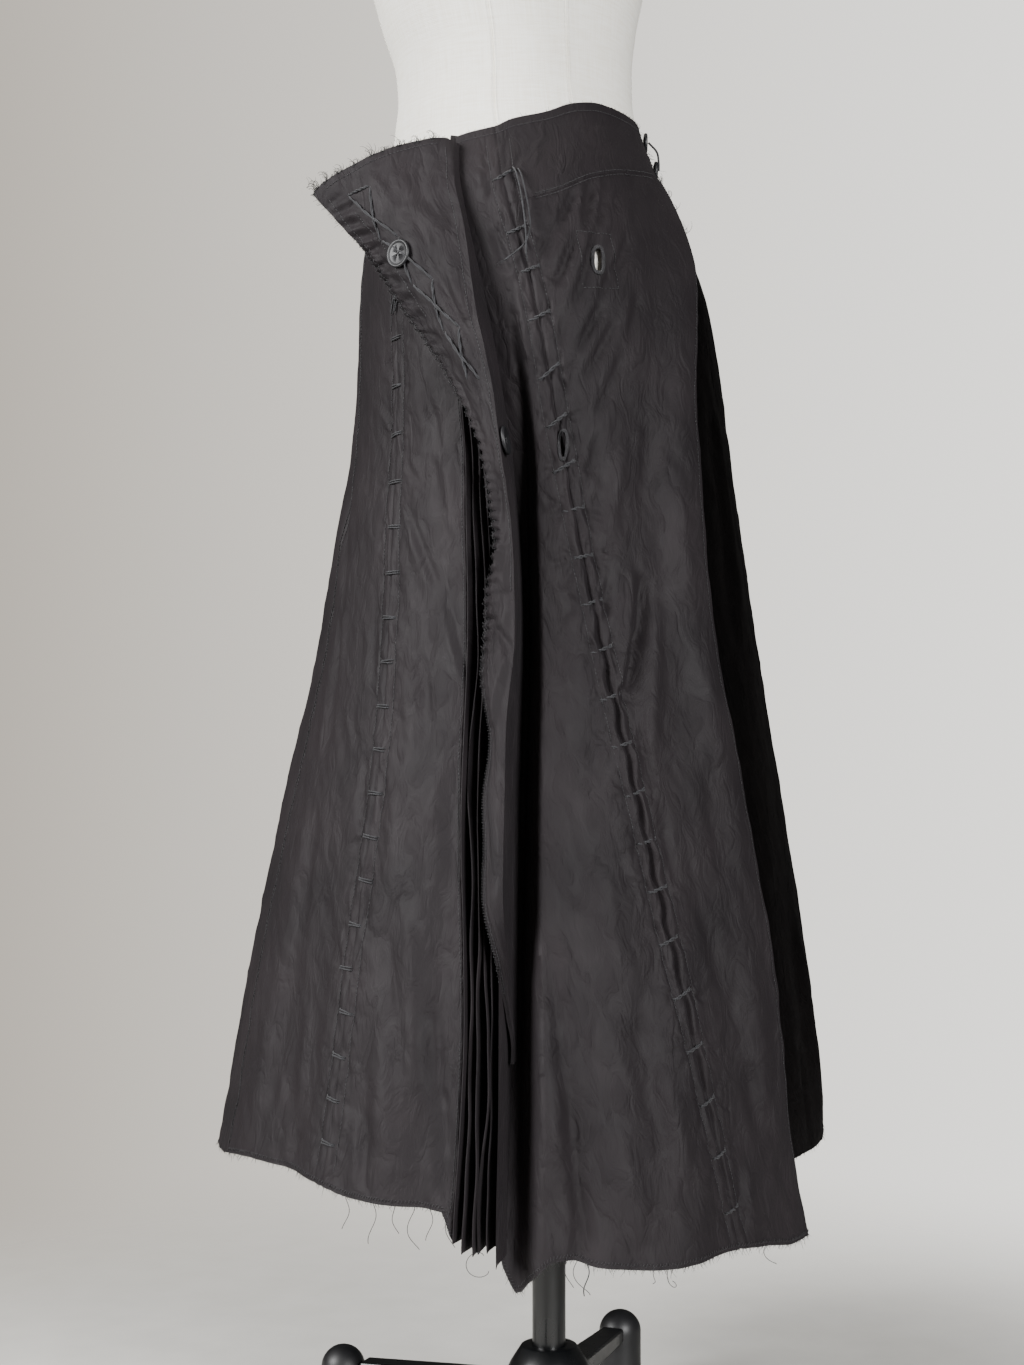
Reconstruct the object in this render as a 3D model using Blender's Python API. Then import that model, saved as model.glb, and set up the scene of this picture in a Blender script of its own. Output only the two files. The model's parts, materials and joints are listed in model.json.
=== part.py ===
"""Wrap skirt on a limbless dress form with its stand.

The skirt has laced seams, a turned-back front flap, a stack of narrow pleats beside it, a
hip yoke and a raw hem.  Lengths are in metres and +Z is up.  Angles go round the form in
degrees: 0 faces the viewer (-Y), 90 is the viewer's right (+X), -90 the left, 180 the back.
"Fall" runs down the cloth from 0 at its top edge to 1 at its hem.
"""
import math
from collections import namedtuple

import bpy
from mathutils import Vector

# ---- Cloth ----
CLOTH = 0.0012              # wall of the garment's cloth
PLEAT_CLOTH = 0.0010        # wall of one pleat leaf
SEAM_GAP = 0.0004           # air between two pieces that are sewn together
ROWS = 20                   # steps down the cloth
YOKE_ROWS = 1               # of which the yoke takes this many
UNDERLAP = 0.0030           # how far the back piece lies inside the front piece's edge
TUCK_ANGLE = 7.0            # degrees by which the back piece runs under the front piece
CLOSURE_GAP = 2.4           # degrees between the two at the buttoned closure

Section = namedtuple("Section", "height left right half_depth")
SKIRT_SECTIONS = (
    Section(0.180, -0.2530, 0.2080, 0.2960),
    Section(0.235, -0.2455, 0.2035, 0.2860),
    Section(0.300, -0.2335, 0.1976, 0.2710),
    Section(0.400, -0.2155, 0.1852, 0.2490),
    Section(0.500, -0.1948, 0.1700, 0.2270),
    Section(0.600, -0.1725, 0.1550, 0.2050),
    Section(0.680, -0.1590, 0.1437, 0.1910),
    Section(0.740, -0.1472, 0.1345, 0.1830),
    Section(0.800, -0.1426, 0.1262, 0.1765),
    Section(0.860, -0.1410, 0.1150, 0.1690),
    Section(0.920, -0.1330, 0.0945, 0.1510),
    Section(0.960, -0.1194, 0.0768, 0.1288),
    Section(0.985, -0.1169, 0.0679, 0.1179),
    Section(1.000, -0.1150, 0.0648, 0.1152),
)

Edge = namedtuple("Edge", "angle height")
TOP_EDGE = (
    Edge(-180.0, 0.986), Edge(-150.0, 0.980), Edge(-115.0, 0.960), Edge(-90.0, 0.947),
    Edge(-60.0, 0.945), Edge(-40.0, 0.951), Edge(-25.0, 0.9585), Edge(-10.0, 0.9630),
    Edge(-4.0, 0.9675), Edge(11.0, 0.9738), Edge(26.0, 0.9835), Edge(40.0, 0.9870),
    Edge(60.0, 0.9865), Edge(90.0, 0.9875), Edge(180.0, 0.986),
)
FRONT_HEM = (
    Edge(-180.0, 0.246), Edge(-120.0, 0.243), Edge(-90.0, 0.237), Edge(-72.0, 0.2445),
    Edge(-54.0, 0.254), Edge(-46.0, 0.254), Edge(-37.0, 0.2505), Edge(-30.0, 0.2453),
    Edge(-20.0, 0.2447), Edge(-13.4, 0.2434), Edge(-11.4, 0.228), Edge(-8.7, 0.2185),
    Edge(-5.5, 0.220), Edge(-2.8, 0.2015), Edge(-0.7, 0.190), Edge(1.6, 0.202),
    Edge(5.0, 0.2145), Edge(8.0, 0.215), Edge(12.0, 0.2103), Edge(25.0, 0.205),
    Edge(36.0, 0.2085), Edge(45.0, 0.205), Edge(52.0, 0.2005), Edge(60.0, 0.200),
)
BACK_HEM = (
    Edge(30.0, 0.251), Edge(60.0, 0.250), Edge(90.0, 0.248), Edge(180.0, 0.246),
)

# Angle of each lengthwise seam at a fraction of the fall.
SeamRow = namedtuple("SeamRow", "fall side left_lace pleats valley right_lace right_edge")
SEAMS = (
    SeamRow(0.00, -78.0, -49.0, -36.0, -29.0, -10.8, 84.0),
    SeamRow(0.06, -78.0, -49.0, -33.0, -25.0, -7.3, 72.0),
    SeamRow(0.15, -76.0, -48.5, -28.0, -19.5, -1.8, 58.5),
    SeamRow(0.29, -72.0, -46.7, -22.6, -13.6, 3.9, 46.0),
    SeamRow(0.45, -68.5, -40.4, -18.0, -8.2, 12.3, 43.5),
    SeamRow(0.66, -66.5, -35.9, -15.0, -6.6, 23.2, 49.0),
    SeamRow(0.85, -64.5, -35.8, -11.4, -5.1, 31.5, 51.2),
    SeamRow(1.00, -63.5, -35.7, -11.0, -3.9, 38.7, 58.0),
)

# Large soft folds: outward depth at the hem, fading in below the start.
Fold = namedtuple("Fold", "angle spread depth start")
FOLDS = (
    Fold(-62.0, 7.0, 0.006, 0.45), Fold(-46.0, 5.0, -0.004, 0.55),
    Fold(-17.0, 2.5, -0.004, 0.60), Fold(-24.0, 4.0, 0.003, 0.50),
    Fold(9.0, 3.0, -0.004, 0.60), Fold(29.0, 6.0, 0.004, 0.50),
    Fold(104.0, 6.0, 0.010, 0.30), Fold(122.0, 8.0, -0.010, 0.35),
    Fold(144.0, 9.0, 0.012, 0.30), Fold(164.0, 6.0, -0.009, 0.40),
    Fold(-164.0, 8.0, 0.011, 0.30), Fold(-146.0, 8.0, -0.010, 0.35),
    Fold(-126.0, 8.0, 0.011, 0.30), Fold(-107.0, 7.0, -0.008, 0.40),
)

# The shaded valley on the right of the flap, pressed in from the smooth cloth.
Valley = namedtuple("Valley", "fall depth")
VALLEY = (Valley(0.0, 0.0), Valley(0.15, 0.001), Valley(0.28, 0.004), Valley(0.38, 0.012),
          Valley(0.55, 0.020), Valley(1.0, 0.025))
VALLEY_SPREAD = 15.0        # degrees from the valley's floor to the smooth cloth

# The stack of narrow pleats: how far its folds reach out of and into the skirt.
PleatRow = namedtuple("PleatRow", "fall outward inward")
PLEATS = (PleatRow(0.0, 0.0040, 0.0003), PleatRow(0.20, 0.0035, 0.0015),
          PleatRow(0.32, 0.0030, 0.0040), PleatRow(0.42, 0.0030, 0.0120),
          PleatRow(0.55, 0.0030, 0.0260), PleatRow(1.0, 0.0040, 0.0280))
PLEAT_COUNT = 5

# ---- Yoke and buttonhole ----
YOKE_MARGIN = 0.25          # degrees of air beside the yoke
YOKE_GAP = 0.0009           # fraction of the fall left open below the yoke
RIGHT_COLUMNS = 14          # steps across the yoke and the piece below it
YokeRow = namedtuple("YokeRow", "angle depth")
YOKE_DEPTH = (YokeRow(-8.0, 0.065), YokeRow(2.0, 0.063), YokeRow(19.0, 0.0585),
              YokeRow(40.0, 0.053), YokeRow(60.0, 0.046), YokeRow(90.0, 0.038))
HOLE_AT = (20.3, 0.8634)     # angle and height of the worked buttonhole
HOLE_WIDTH = 0.0055
HOLE_LENGTH = 0.0170
HOLE_REACH = 0.012          # how far its cutter runs each way

# ---- Turned-back flap: the folded edge and the free edge, row by row ----
FlapRow = namedtuple("FlapRow", "fold_x fold_y fold_z free_x free_y free_z roll")
FLAP = (
    FlapRow(-0.0693, -0.130, 0.9510, -0.1680, -0.098, 0.9205, 0.004),
    FlapRow(-0.0665, -0.147, 0.9170, -0.1500, -0.108, 0.8990, 0.007),
    FlapRow(-0.0605, -0.162, 0.8870, -0.1300, -0.117, 0.8760, 0.008),
    FlapRow(-0.0530, -0.180, 0.8330, -0.1030, -0.135, 0.8350, 0.007),
    FlapRow(-0.0415, -0.195, 0.7750, -0.0730, -0.166, 0.7860, 0.005),
    FlapRow(-0.0340, -0.206, 0.7230, -0.0478, -0.187, 0.7290, 0.003),
    FlapRow(-0.0275, -0.212, 0.6700, -0.0410, -0.198, 0.6700, 0.002),
    FlapRow(-0.0260, -0.220, 0.6100, -0.0440, -0.209, 0.6100, 0.002),
    FlapRow(-0.0320, -0.233, 0.5400, -0.0465, -0.224, 0.5400, 0.002),
    FlapRow(-0.0330, -0.248, 0.4700, -0.0450, -0.240, 0.4700, 0.002),
    FlapRow(-0.0345, -0.264, 0.4000, -0.0440, -0.257, 0.4000, 0.002),
    FlapRow(-0.0350, -0.278, 0.3300, -0.0420, -0.272, 0.3300, 0.001),
)
FLAP_ROWS = 26
FLAP_COLUMNS = 8
FLAP_CROWN = 0.0108         # rise of the flap's top edge above the line between its corners
FLAP_CROWN_REACH = 0.12     # share of the flap's length in which that rise fades out
FLAP_SEAT = 0.0013          # from the centre piece's face to the outer face of the seam edge
FLAP_SEAM_ANGLE = 2.6       # degrees by which that edge lies right of the centre piece's

# ---- Buttons ----
BUTTON_RADIUS = 0.0100
BUTTON_HEIGHT = 0.0030
BUTTON_RIM = 0.0016
BUTTON_WELL = 0.0009
BUTTON_HOLE_RADIUS = 0.0010
BUTTON_HOLE_PITCH = 0.0017
BUTTON_LIFT = 0.0006        # thread shank between cloth and button
BACK_BUTTON_LIFT = 0.0010
BACK_BUTTON_RADIUS = 0.0075
BACK_BUTTONS = ((90.0, 0.9795), (91.0, 0.9585))
FACE_BUTTON = (0.205, 0.630)    # shares down the flap and across its face, from the fold
RETURN_BUTTON = (0.431, 0.320)  # shares down the flap and across its return strip

# ---- Lace tails that hang free from the right laced seam ----
TailPoint = namedtuple("TailPoint", "angle height lift")
TAIL_RADIUS = 0.0006
LONG_TAIL = (
    TailPoint(-2.0, 0.9275, 0.0012), TailPoint(-0.9, 0.9220, 0.0038),
    TailPoint(-0.1, 0.9067, 0.0050), TailPoint(0.2, 0.8950, 0.0048),
    TailPoint(0.0, 0.8841, 0.0046), TailPoint(-1.8, 0.8734, 0.0044),
    TailPoint(-4.8, 0.8670, 0.0042), TailPoint(-8.4, 0.8611, 0.0040),
)
SHORT_TAIL = (
    TailPoint(-3.8, 0.9290, 0.0012), TailPoint(-2.6, 0.9240, 0.0046),
    TailPoint(-1.6, 0.9080, 0.0064), TailPoint(-1.4, 0.8950, 0.0066),
    TailPoint(-1.4, 0.8841, 0.0066), TailPoint(-1.6, 0.8740, 0.0066),
    TailPoint(-2.0, 0.8640, 0.0066),
)
TAIL_POINTS = 20

# ---- Dress form ----
FormSection = namedtuple("FormSection", "height front back half_width square")
FORM_SECTIONS = (
    FormSection(0.735, -0.1120, 0.1000, 0.1580, 2.0),
    FormSection(0.750, -0.1180, 0.1060, 0.1630, 2.0),
    FormSection(0.800, -0.1250, 0.1120, 0.1680, 2.0),
    FormSection(0.860, -0.1270, 0.1060, 0.1620, 2.0),
    FormSection(0.920, -0.1205, 0.0870, 0.1430, 2.0),
    FormSection(0.960, -0.1165, 0.0735, 0.1250, 2.0),
    FormSection(0.985, -0.1150, 0.0660, 0.1160, 2.0),
    FormSection(1.008, -0.1125, 0.0620, 0.1125, 2.0),
    FormSection(1.030, -0.1140, 0.0615, 0.1135, 2.0),
    FormSection(1.059, -0.1230, 0.0642, 0.1180, 2.0),
    FormSection(1.088, -0.1312, 0.0698, 0.1245, 2.0),
    FormSection(1.150, -0.1500, 0.0800, 0.1390, 2.1),
    FormSection(1.205, -0.1580, 0.0880, 0.1490, 2.2),
    FormSection(1.265, -0.1470, 0.0950, 0.1560, 2.3),
    FormSection(1.325, -0.1190, 0.0980, 0.1620, 2.3),
    FormSection(1.370, -0.0950, 0.0910, 0.1520, 2.2),
    FormSection(1.400, -0.0770, 0.0780, 0.1180, 2.0),
    FormSection(1.422, -0.0650, 0.0650, 0.0800, 2.0),
    FormSection(1.450, -0.0560, 0.0560, 0.0560, 2.0),
    FormSection(1.500, -0.0500, 0.0500, 0.0500, 2.0),
)
FORM_SIDES = 44
FORM_STEP = 0.032           # most height between two rings
NECK_CAP_HEIGHT = 0.014
NECK_CAP_EDGE = 0.003

# ---- Stand ----
PARTING = 0.0003            # air where two hard pieces meet
POLE_RADIUS = 0.0125
FLANGE_RADIUS = 0.045
FLANGE_HEIGHT = 0.008
HUB_TOP = 0.080
HUB_BOTTOM = 0.036
HUB_TOP_RADIUS = 0.020
HUB_RADIUS = 0.034
SOCKET_FLOOR = 0.050
LEG_COUNT = 4
LEG_TURN = 21.0             # degrees by which the cross of legs is turned
LEG_REACH = 0.170           # from the pole's axis to a foot's
LEG_WIDTH = 0.024
LEG_TIP_WIDTH = 0.018
LEG_BOTTOM = 0.040
LEG_TOP = 0.056
FOOT_RADIUS = 0.017
FOOT_HEIGHT = 0.062
FOOT_PAD_RADIUS = 0.015
ROUND_SIDES = 20

Finish = namedtuple("Finish", "colour roughness metallic")
CLOTH_FINISH = Finish((0.035, 0.033, 0.035), 0.62, 0.0)
BUTTON_FINISH = Finish((0.030, 0.030, 0.034), 0.35, 0.0)
LACE_FINISH = Finish((0.045, 0.045, 0.050), 0.60, 0.0)
LINEN_FINISH = Finish((0.860, 0.830, 0.760), 0.85, 0.0)
WOOD_FINISH = Finish((0.420, 0.280, 0.160), 0.45, 0.0)
STEEL_FINISH = Finish((0.020, 0.022, 0.026), 0.35, 0.6)
NYLON_FINISH = Finish((0.030, 0.030, 0.032), 0.45, 0.0)


# ---- Curves through the tables ----
def limited_slope(before, after):
    """Slope at a row that never overshoots its two neighbours."""
    if before * after <= 0.0:
        return 0.0
    return 2.0 * before * after / (before + after)


def read_table(rows, key):
    """Values of a table's other columns at a key, on a smooth curve through its rows."""
    if key <= rows[0][0]:
        return tuple(rows[0][1:])
    if key >= rows[-1][0]:
        return tuple(rows[-1][1:])
    low = 0
    while rows[low + 1][0] < key:
        low += 1
    step = rows[low + 1][0] - rows[low][0]
    share = (key - rows[low][0]) / step
    values = []
    for column in range(1, len(rows[0])):
        def rise(row):
            run = rows[row + 1][0] - rows[row][0]
            return (rows[row + 1][column] - rows[row][column]) / run

        here = rise(low)
        start = limited_slope(rise(low - 1), here) if low > 0 else here
        end = limited_slope(here, rise(low + 1)) if low + 2 < len(rows) else here
        first = rows[low][column]
        last = rows[low + 1][column]
        cubed = share ** 3
        squared = share ** 2
        values.append((2 * cubed - 3 * squared + 1) * first
                      + (cubed - 2 * squared + share) * step * start
                      + (3 * squared - 2 * cubed) * last
                      + (cubed - squared) * step * end)
    return tuple(values)


def ease(share):
    """0 to 1 with a soft start and end."""
    share = min(max(share, 0.0), 1.0)
    return share * share * (3.0 - 2.0 * share)


def half_turn(angle):
    """The same angle between -180 and 180 degrees."""
    return (angle + 180.0) % 360.0 - 180.0


# ---- The skirt's surface ----
def fold_depth(angle, fall):
    """How far the large soft folds push the cloth out."""
    total = 0.0
    for fold in FOLDS:
        away = half_turn(angle - fold.angle) / fold.spread
        total += fold.depth * math.exp(-away * away) * ease((fall - fold.start) / (1 - fold.start))
    return total


def valley_depth(angle, fall):
    """How far the cloth sinks on the right of the flap."""
    depth = read_table(VALLEY, fall)[0]
    valley = read_table(SEAMS, fall)[3]
    return depth * (1.0 - ease((angle - valley) / VALLEY_SPREAD))


def surface_point(angle, height, outward):
    """A point on the skirt's section at a height, moved outward square to it."""
    left, right, half_depth = read_table(SKIRT_SECTIONS, height)
    centre = (left + right) / 2.0
    half_length = (right - left) / 2.0
    turn = math.radians(angle)
    normal = Vector((math.sin(turn) / half_length, -math.cos(turn) / half_depth, 0.0))
    place = Vector((centre + half_length * math.sin(turn), -half_depth * math.cos(turn), height))
    return place + normal.normalized() * outward


def height_at(angle, fall, hem):
    """Height of the cloth at a fraction of its fall."""
    top = read_table(TOP_EDGE, half_turn(angle))[0]
    bottom = read_table(hem, half_turn(angle))[0]
    return top + (bottom - top) * fall


def skirt_point(angle, fall, outward=0.0, hem=FRONT_HEM):
    """A point of the skirt's outer face, with its folds and the valley."""
    height = height_at(angle, fall, hem)
    total = outward + fold_depth(angle, fall)
    if read_table(SEAMS, fall)[3] - 0.001 <= angle < 90.0:
        total -= valley_depth(angle, fall)
    return surface_point(angle, height, total)


# ---- Making objects ----
def make_material(name, finish):
    """A plain material for one piece."""
    material = bpy.data.materials.new(name + "_finish")
    material.use_nodes = True
    shader = material.node_tree.nodes["Principled BSDF"]
    shader.inputs["Base Color"].default_value = (*finish.colour, 1.0)
    shader.inputs["Roughness"].default_value = finish.roughness
    shader.inputs["Metallic"].default_value = finish.metallic
    material.diffuse_color = (*finish.colour, 1.0)
    return material


def make_object(name, points, faces, finish, smooth_angle=40.0):
    """A named object from points and faces, shaded smooth with its sharp edges kept."""
    mesh = bpy.data.meshes.new(name)
    mesh.from_pydata([tuple(point) for point in points], [], faces)
    mesh.validate()
    mesh.shade_smooth()
    mesh.set_sharp_from_angle(angle=math.radians(smooth_angle))
    item = bpy.data.objects.new(name, mesh)
    bpy.context.scene.collection.objects.link(item)
    if finish is not None:
        mesh.materials.append(make_material(name, finish))
    return item


def square_to_cloth(grid, row, column):
    """Direction out of the cloth at a grid point, lengthened at a corner to keep its wall."""
    down = grid[min(row + 1, len(grid) - 1)][column] - grid[max(row - 1, 0)][column]
    line = grid[row]
    sides = []
    for first in (column - 1, column):
        if 0 <= first < len(line) - 1:
            sides.append(down.cross(line[first + 1] - line[first]).normalized())
    total = sides[0] + sides[-1]
    return total / (1.0 + sides[0].dot(sides[-1]))


def cloth_wall(name, grid, thickness):
    """A closed wall of cloth behind a grid of outer points, rows going down, columns right."""
    rows = len(grid)
    columns = len(grid[0])
    points = [point for line in grid for point in line]
    for row in range(rows):
        for column in range(columns):
            out = square_to_cloth(grid, row, column)
            points.append(grid[row][column] - out * thickness)
    inner = rows * columns
    faces = []
    for row in range(rows - 1):
        for column in range(columns - 1):
            a = row * columns + column
            b = a + columns
            faces.append((a, b, b + 1, a + 1))
            faces.append((inner + a, inner + a + 1, inner + b + 1, inner + b))
    for column in range(columns - 1):
        top = column
        low = (rows - 1) * columns + column
        faces.append((top, top + 1, inner + top + 1, inner + top))
        faces.append((low + 1, low, inner + low, inner + low + 1))
    for row in range(rows - 1):
        left = row * columns
        right = left + columns - 1
        faces.append((left + columns, left, inner + left, inner + left + columns))
        faces.append((right, right + columns, inner + right + columns, inner + right))
    return make_object(name, points, faces, CLOTH_FINISH)


def turned(name, profile, finish, sides=ROUND_SIDES):
    """A closed round solid from radius and height pairs, listed from its foot to its top."""
    points = []
    for radius, height in profile:
        for side in range(sides):
            turn = 2.0 * math.pi * side / sides
            points.append((radius * math.cos(turn), radius * math.sin(turn), height))
    faces = [tuple(reversed(range(sides)))]
    for ring in range(len(profile) - 1):
        for side in range(sides):
            a = ring * sides + side
            b = ring * sides + (side + 1) % sides
            faces.append((a, b, b + sides, a + sides))
    last = (len(profile) - 1) * sides
    faces.append(tuple(range(last, last + sides)))
    return make_object(name, points, faces, finish)


def cut_with(item, cutter):
    """Takes a hidden cutter out of an object."""
    cutter.hide_render = True
    cutter.display_type = "WIRE"
    boolean = item.modifiers.new("cut_" + cutter.name, "BOOLEAN")
    boolean.operation = "DIFFERENCE"
    boolean.object = cutter


def stand_on(item, place, outward):
    """Sets an object on a surface, its own +Z along the outward direction."""
    item.rotation_mode = "QUATERNION"
    item.rotation_quaternion = outward.normalized().to_track_quat("Z", "Y")
    item.location = place


# ---- Skirt pieces ----
def gap_angle(height):
    """Half a seam's gap as an angle round the skirt at a height."""
    half_depth = read_table(SKIRT_SECTIONS, height)[2]
    return math.degrees(SEAM_GAP / 2.0 / half_depth)


def panel_grid(start, end, columns, outward=None, hem=FRONT_HEM, top=None):
    """Outer points of a panel between two seam angles, each given as a function of fall.

    A panel that hangs from another piece starts at the fall that top gives for an angle.
    """
    grid = []
    for row in range(0 if top is None else YOKE_ROWS, ROWS + 1):
        line = []
        for column in range(columns + 1):
            across = column / columns
            fall = row / ROWS
            if top is not None and row == YOKE_ROWS:
                for _pass in range(4):
                    fall = top(start(fall) + (end(fall) - start(fall)) * across)
            margin = gap_angle(height_at(start(fall), fall, hem))
            begin = start(fall) + margin
            angle = begin + (end(fall) - margin - begin) * across
            lift = outward(angle, fall) if outward else 0.0
            line.append(skirt_point(angle, fall, lift, hem))
        grid.append(line)
    return grid


def seam(column):
    """A seam's angle as a function of fall."""
    return lambda fall: read_table(SEAMS, fall)[column]


def yoke_fall(angle):
    """Fraction of the fall where the yoke ends."""
    depth = read_table(YOKE_DEPTH, angle)[0]
    top = read_table(TOP_EDGE, half_turn(angle))[0]
    bottom = read_table(FRONT_HEM, half_turn(angle))[0]
    return depth / (top - bottom)


def build_left_side():
    """The piece from the left side seam to the left laced seam."""
    return cloth_wall("left_side_panel", panel_grid(seam(0), seam(1), 9), CLOTH)


def build_left_front():
    """The piece from the left laced seam to the pleats."""
    return cloth_wall("left_front_panel", panel_grid(seam(1), seam(2), 9), CLOTH)


def build_pleats():
    """The narrow pleats, folded back and forth as one strip of cloth."""
    grid = []
    limbs = 2 * PLEAT_COUNT
    for row in range(ROWS + 1):
        fall = row / ROWS
        _side, _lace, start, end, _right, _edge = read_table(SEAMS, fall)
        outward, inward = read_table(PLEATS, fall)
        margin = gap_angle(height_at(start, fall, FRONT_HEM)) * 2.0
        start += margin * (1.0 + 2.0 * PLEAT_CLOTH / SEAM_GAP)
        width = (end - 2.0 * margin - start) / limbs
        line = []
        for limb in range(limbs + 1):
            angle = start + width * limb
            reaches = (outward, -inward) if limb % 2 == 0 else (-inward, outward)
            for reach in reaches:
                height = height_at(angle, fall, FRONT_HEM)
                line.append(surface_point(angle, height, reach))
        grid.append(line)
    return cloth_wall("front_pleats", grid, PLEAT_CLOTH)


def build_centre_front():
    """The centre piece, from the valley to the right laced seam."""
    return cloth_wall("centre_front_panel", panel_grid(seam(3), seam(4), 11), CLOTH)


def build_yoke():
    """The hip yoke, above the right front piece."""
    grid = []
    steps = 4
    for row in range(steps + 1):
        line = []
        for column in range(RIGHT_COLUMNS + 1):
            across = column / RIGHT_COLUMNS
            fall = 0.0
            for _pass in range(5):
                start = read_table(SEAMS, fall)[4] + YOKE_MARGIN
                angle = start + (read_table(SEAMS, fall)[5] - YOKE_MARGIN - start) * across
                fall = (yoke_fall(angle) - YOKE_GAP) * row / steps
            line.append(skirt_point(angle, fall))
        grid.append(line)
    return cloth_wall("right_hip_yoke", grid, CLOTH)


def front_edge_lift(angle, fall):
    """The right front piece stands out over the back piece along its edge."""
    edge = read_table(SEAMS, fall)[5]
    return (UNDERLAP + 0.001) * ease((fall - 0.03) / 0.12) * ease((angle - edge + 16.0) / 12.0)


def build_right_front():
    """The piece below the yoke, with its worked buttonhole."""
    grid = panel_grid(seam(4), seam(5), RIGHT_COLUMNS, front_edge_lift, top=yoke_fall)
    panel = cloth_wall("right_front_panel", grid, CLOTH)
    angle, height = HOLE_AT
    centre = surface_point(angle, height, 0.0)
    outward = surface_point(angle, height, 1.0) - centre
    points = []
    faces = []
    sides = 12
    half_straight = (HOLE_LENGTH - HOLE_WIDTH) / 2.0
    for reach in (-HOLE_REACH, HOLE_REACH):
        for side in range(sides):
            turn = 2.0 * math.pi * (side + 0.5) / sides
            shift = half_straight if math.sin(turn) > 0 else -half_straight
            points.append((HOLE_WIDTH / 2 * math.cos(turn),
                           HOLE_WIDTH / 2 * math.sin(turn) + shift, reach))
    faces.append(tuple(reversed(range(sides))))
    faces.append(tuple(range(sides, 2 * sides)))
    for side in range(sides):
        after = (side + 1) % sides
        faces.append((side, after, after + sides, side + sides))
    cutter = make_object("buttonhole_cutter", points, faces, None)
    stand_on(cutter, centre, outward)
    cut_with(panel, cutter)
    return panel


def back_edge_tuck(angle, fall):
    """The back piece lies inside the right front piece where the two overlap."""
    edge = read_table(SEAMS, fall)[5]
    below_waist = ease((fall - 0.02) / 0.10)
    return -UNDERLAP * below_waist * (1.0 - ease((angle - edge - 1.0) / 6.0))


def back_start(fall):
    """Front edge of the right back piece, tucked under the front piece below the waist."""
    edge = read_table(SEAMS, fall)[5]
    return edge + CLOSURE_GAP - (TUCK_ANGLE + CLOSURE_GAP) * ease((fall - 0.09) / 0.06)


def build_back_right():
    """The back piece on the viewer's right, up to the centre back seam."""
    grid = panel_grid(back_start, lambda fall: 180.0, 18, back_edge_tuck, BACK_HEM)
    return cloth_wall("right_back_panel", grid, CLOTH)


def build_back_left():
    """The back piece on the viewer's left, from the centre back to the side seam."""
    grid = panel_grid(lambda fall: -180.0, seam(0), 16)
    return cloth_wall("left_back_panel", grid, CLOTH)


def flap_row(share):
    """Seam edge, fold, free edge and roll of the flap at a share of its length."""
    rows = [(index / (len(FLAP) - 1), *row) for index, row in enumerate(FLAP)]
    fold_x, fold_y, fold_z, free_x, free_y, free_z, roll = read_table(rows, share)
    fall = (0.962 - fold_z) / (0.962 - 0.210)
    angle = read_table(SEAMS, fall)[3] + FLAP_SEAM_ANGLE
    sewn = surface_point(angle, fold_z, FLAP_SEAT - valley_depth(angle, fall))
    return sewn, Vector((fold_x, fold_y, fold_z)), Vector((free_x, free_y, free_z)), roll


def flap_point(share, across):
    """A point of the flap's face, from the fold at 0 to the free edge at 1."""
    _sewn, fold, free, roll = flap_row(share)
    along = (free - fold).normalized()
    outward = along.cross(Vector((0.0, 0.0, 1.0))).normalized()
    if outward.y > 0:
        outward.negate()
    arch = max(math.sin(math.pi * across), 0.0)
    crown = FLAP_CROWN * math.sqrt(arch) * (1.0 - ease(share / FLAP_CROWN_REACH))
    return fold + (free - fold) * across + outward * arch * roll + Vector((0.0, 0.0, crown))


def return_point(share, across):
    """A point of the flap's return strip, from the fold at 0 to the sewn edge at 1."""
    sewn, fold, _free, _roll = flap_row(share)
    return fold.lerp(sewn, across)


def build_flap():
    """The front flap: a short return from its seam, the fold, then the turned-back face."""
    grid = []
    for row in range(FLAP_ROWS + 1):
        share = row / FLAP_ROWS
        line = [flap_point(share, column / FLAP_COLUMNS) for column in range(FLAP_COLUMNS, 0, -1)]
        line += [return_point(share, across) for across in (0.0, 0.5, 1.0)]
        grid.append(line)
    return cloth_wall("front_flap", grid, CLOTH)


# ---- Buttons and lace ----
def build_button(name, radius, lift, place, outward):
    """A four-hole button with a raised rim, standing on its thread shank's length."""
    profile = [
        (radius * 0.55, 0.0), (radius * 0.92, 0.0006), (radius, BUTTON_HEIGHT * 0.5),
        (radius * 0.95, BUTTON_HEIGHT), (radius - BUTTON_RIM, BUTTON_HEIGHT),
        (radius - 1.8 * BUTTON_RIM, BUTTON_HEIGHT - BUTTON_WELL),
    ]
    button = turned(name, profile, BUTTON_FINISH)
    points = []
    faces = []
    sides = 6
    for quarter in range(4):
        turn = math.radians(45.0 + 90.0 * quarter)
        x = BUTTON_HOLE_PITCH * math.cos(turn)
        y = BUTTON_HOLE_PITCH * math.sin(turn)
        base = len(points)
        for height in (-BUTTON_HEIGHT, 2 * BUTTON_HEIGHT):
            for side in range(sides):
                around = 2.0 * math.pi * side / sides
                points.append((x + BUTTON_HOLE_RADIUS * math.cos(around),
                               y + BUTTON_HOLE_RADIUS * math.sin(around), height))
        faces.append(tuple(base + side for side in reversed(range(sides))))
        faces.append(tuple(base + sides + side for side in range(sides)))
        for side in range(sides):
            after = (side + 1) % sides
            faces.append((base + side, base + after, base + after + sides, base + side + sides))
    cutter = make_object(name + "_holes", points, faces, None)
    cut_with(button, cutter)
    for item in (button, cutter):
        stand_on(item, place + outward.normalized() * lift, outward)
    return button


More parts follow.
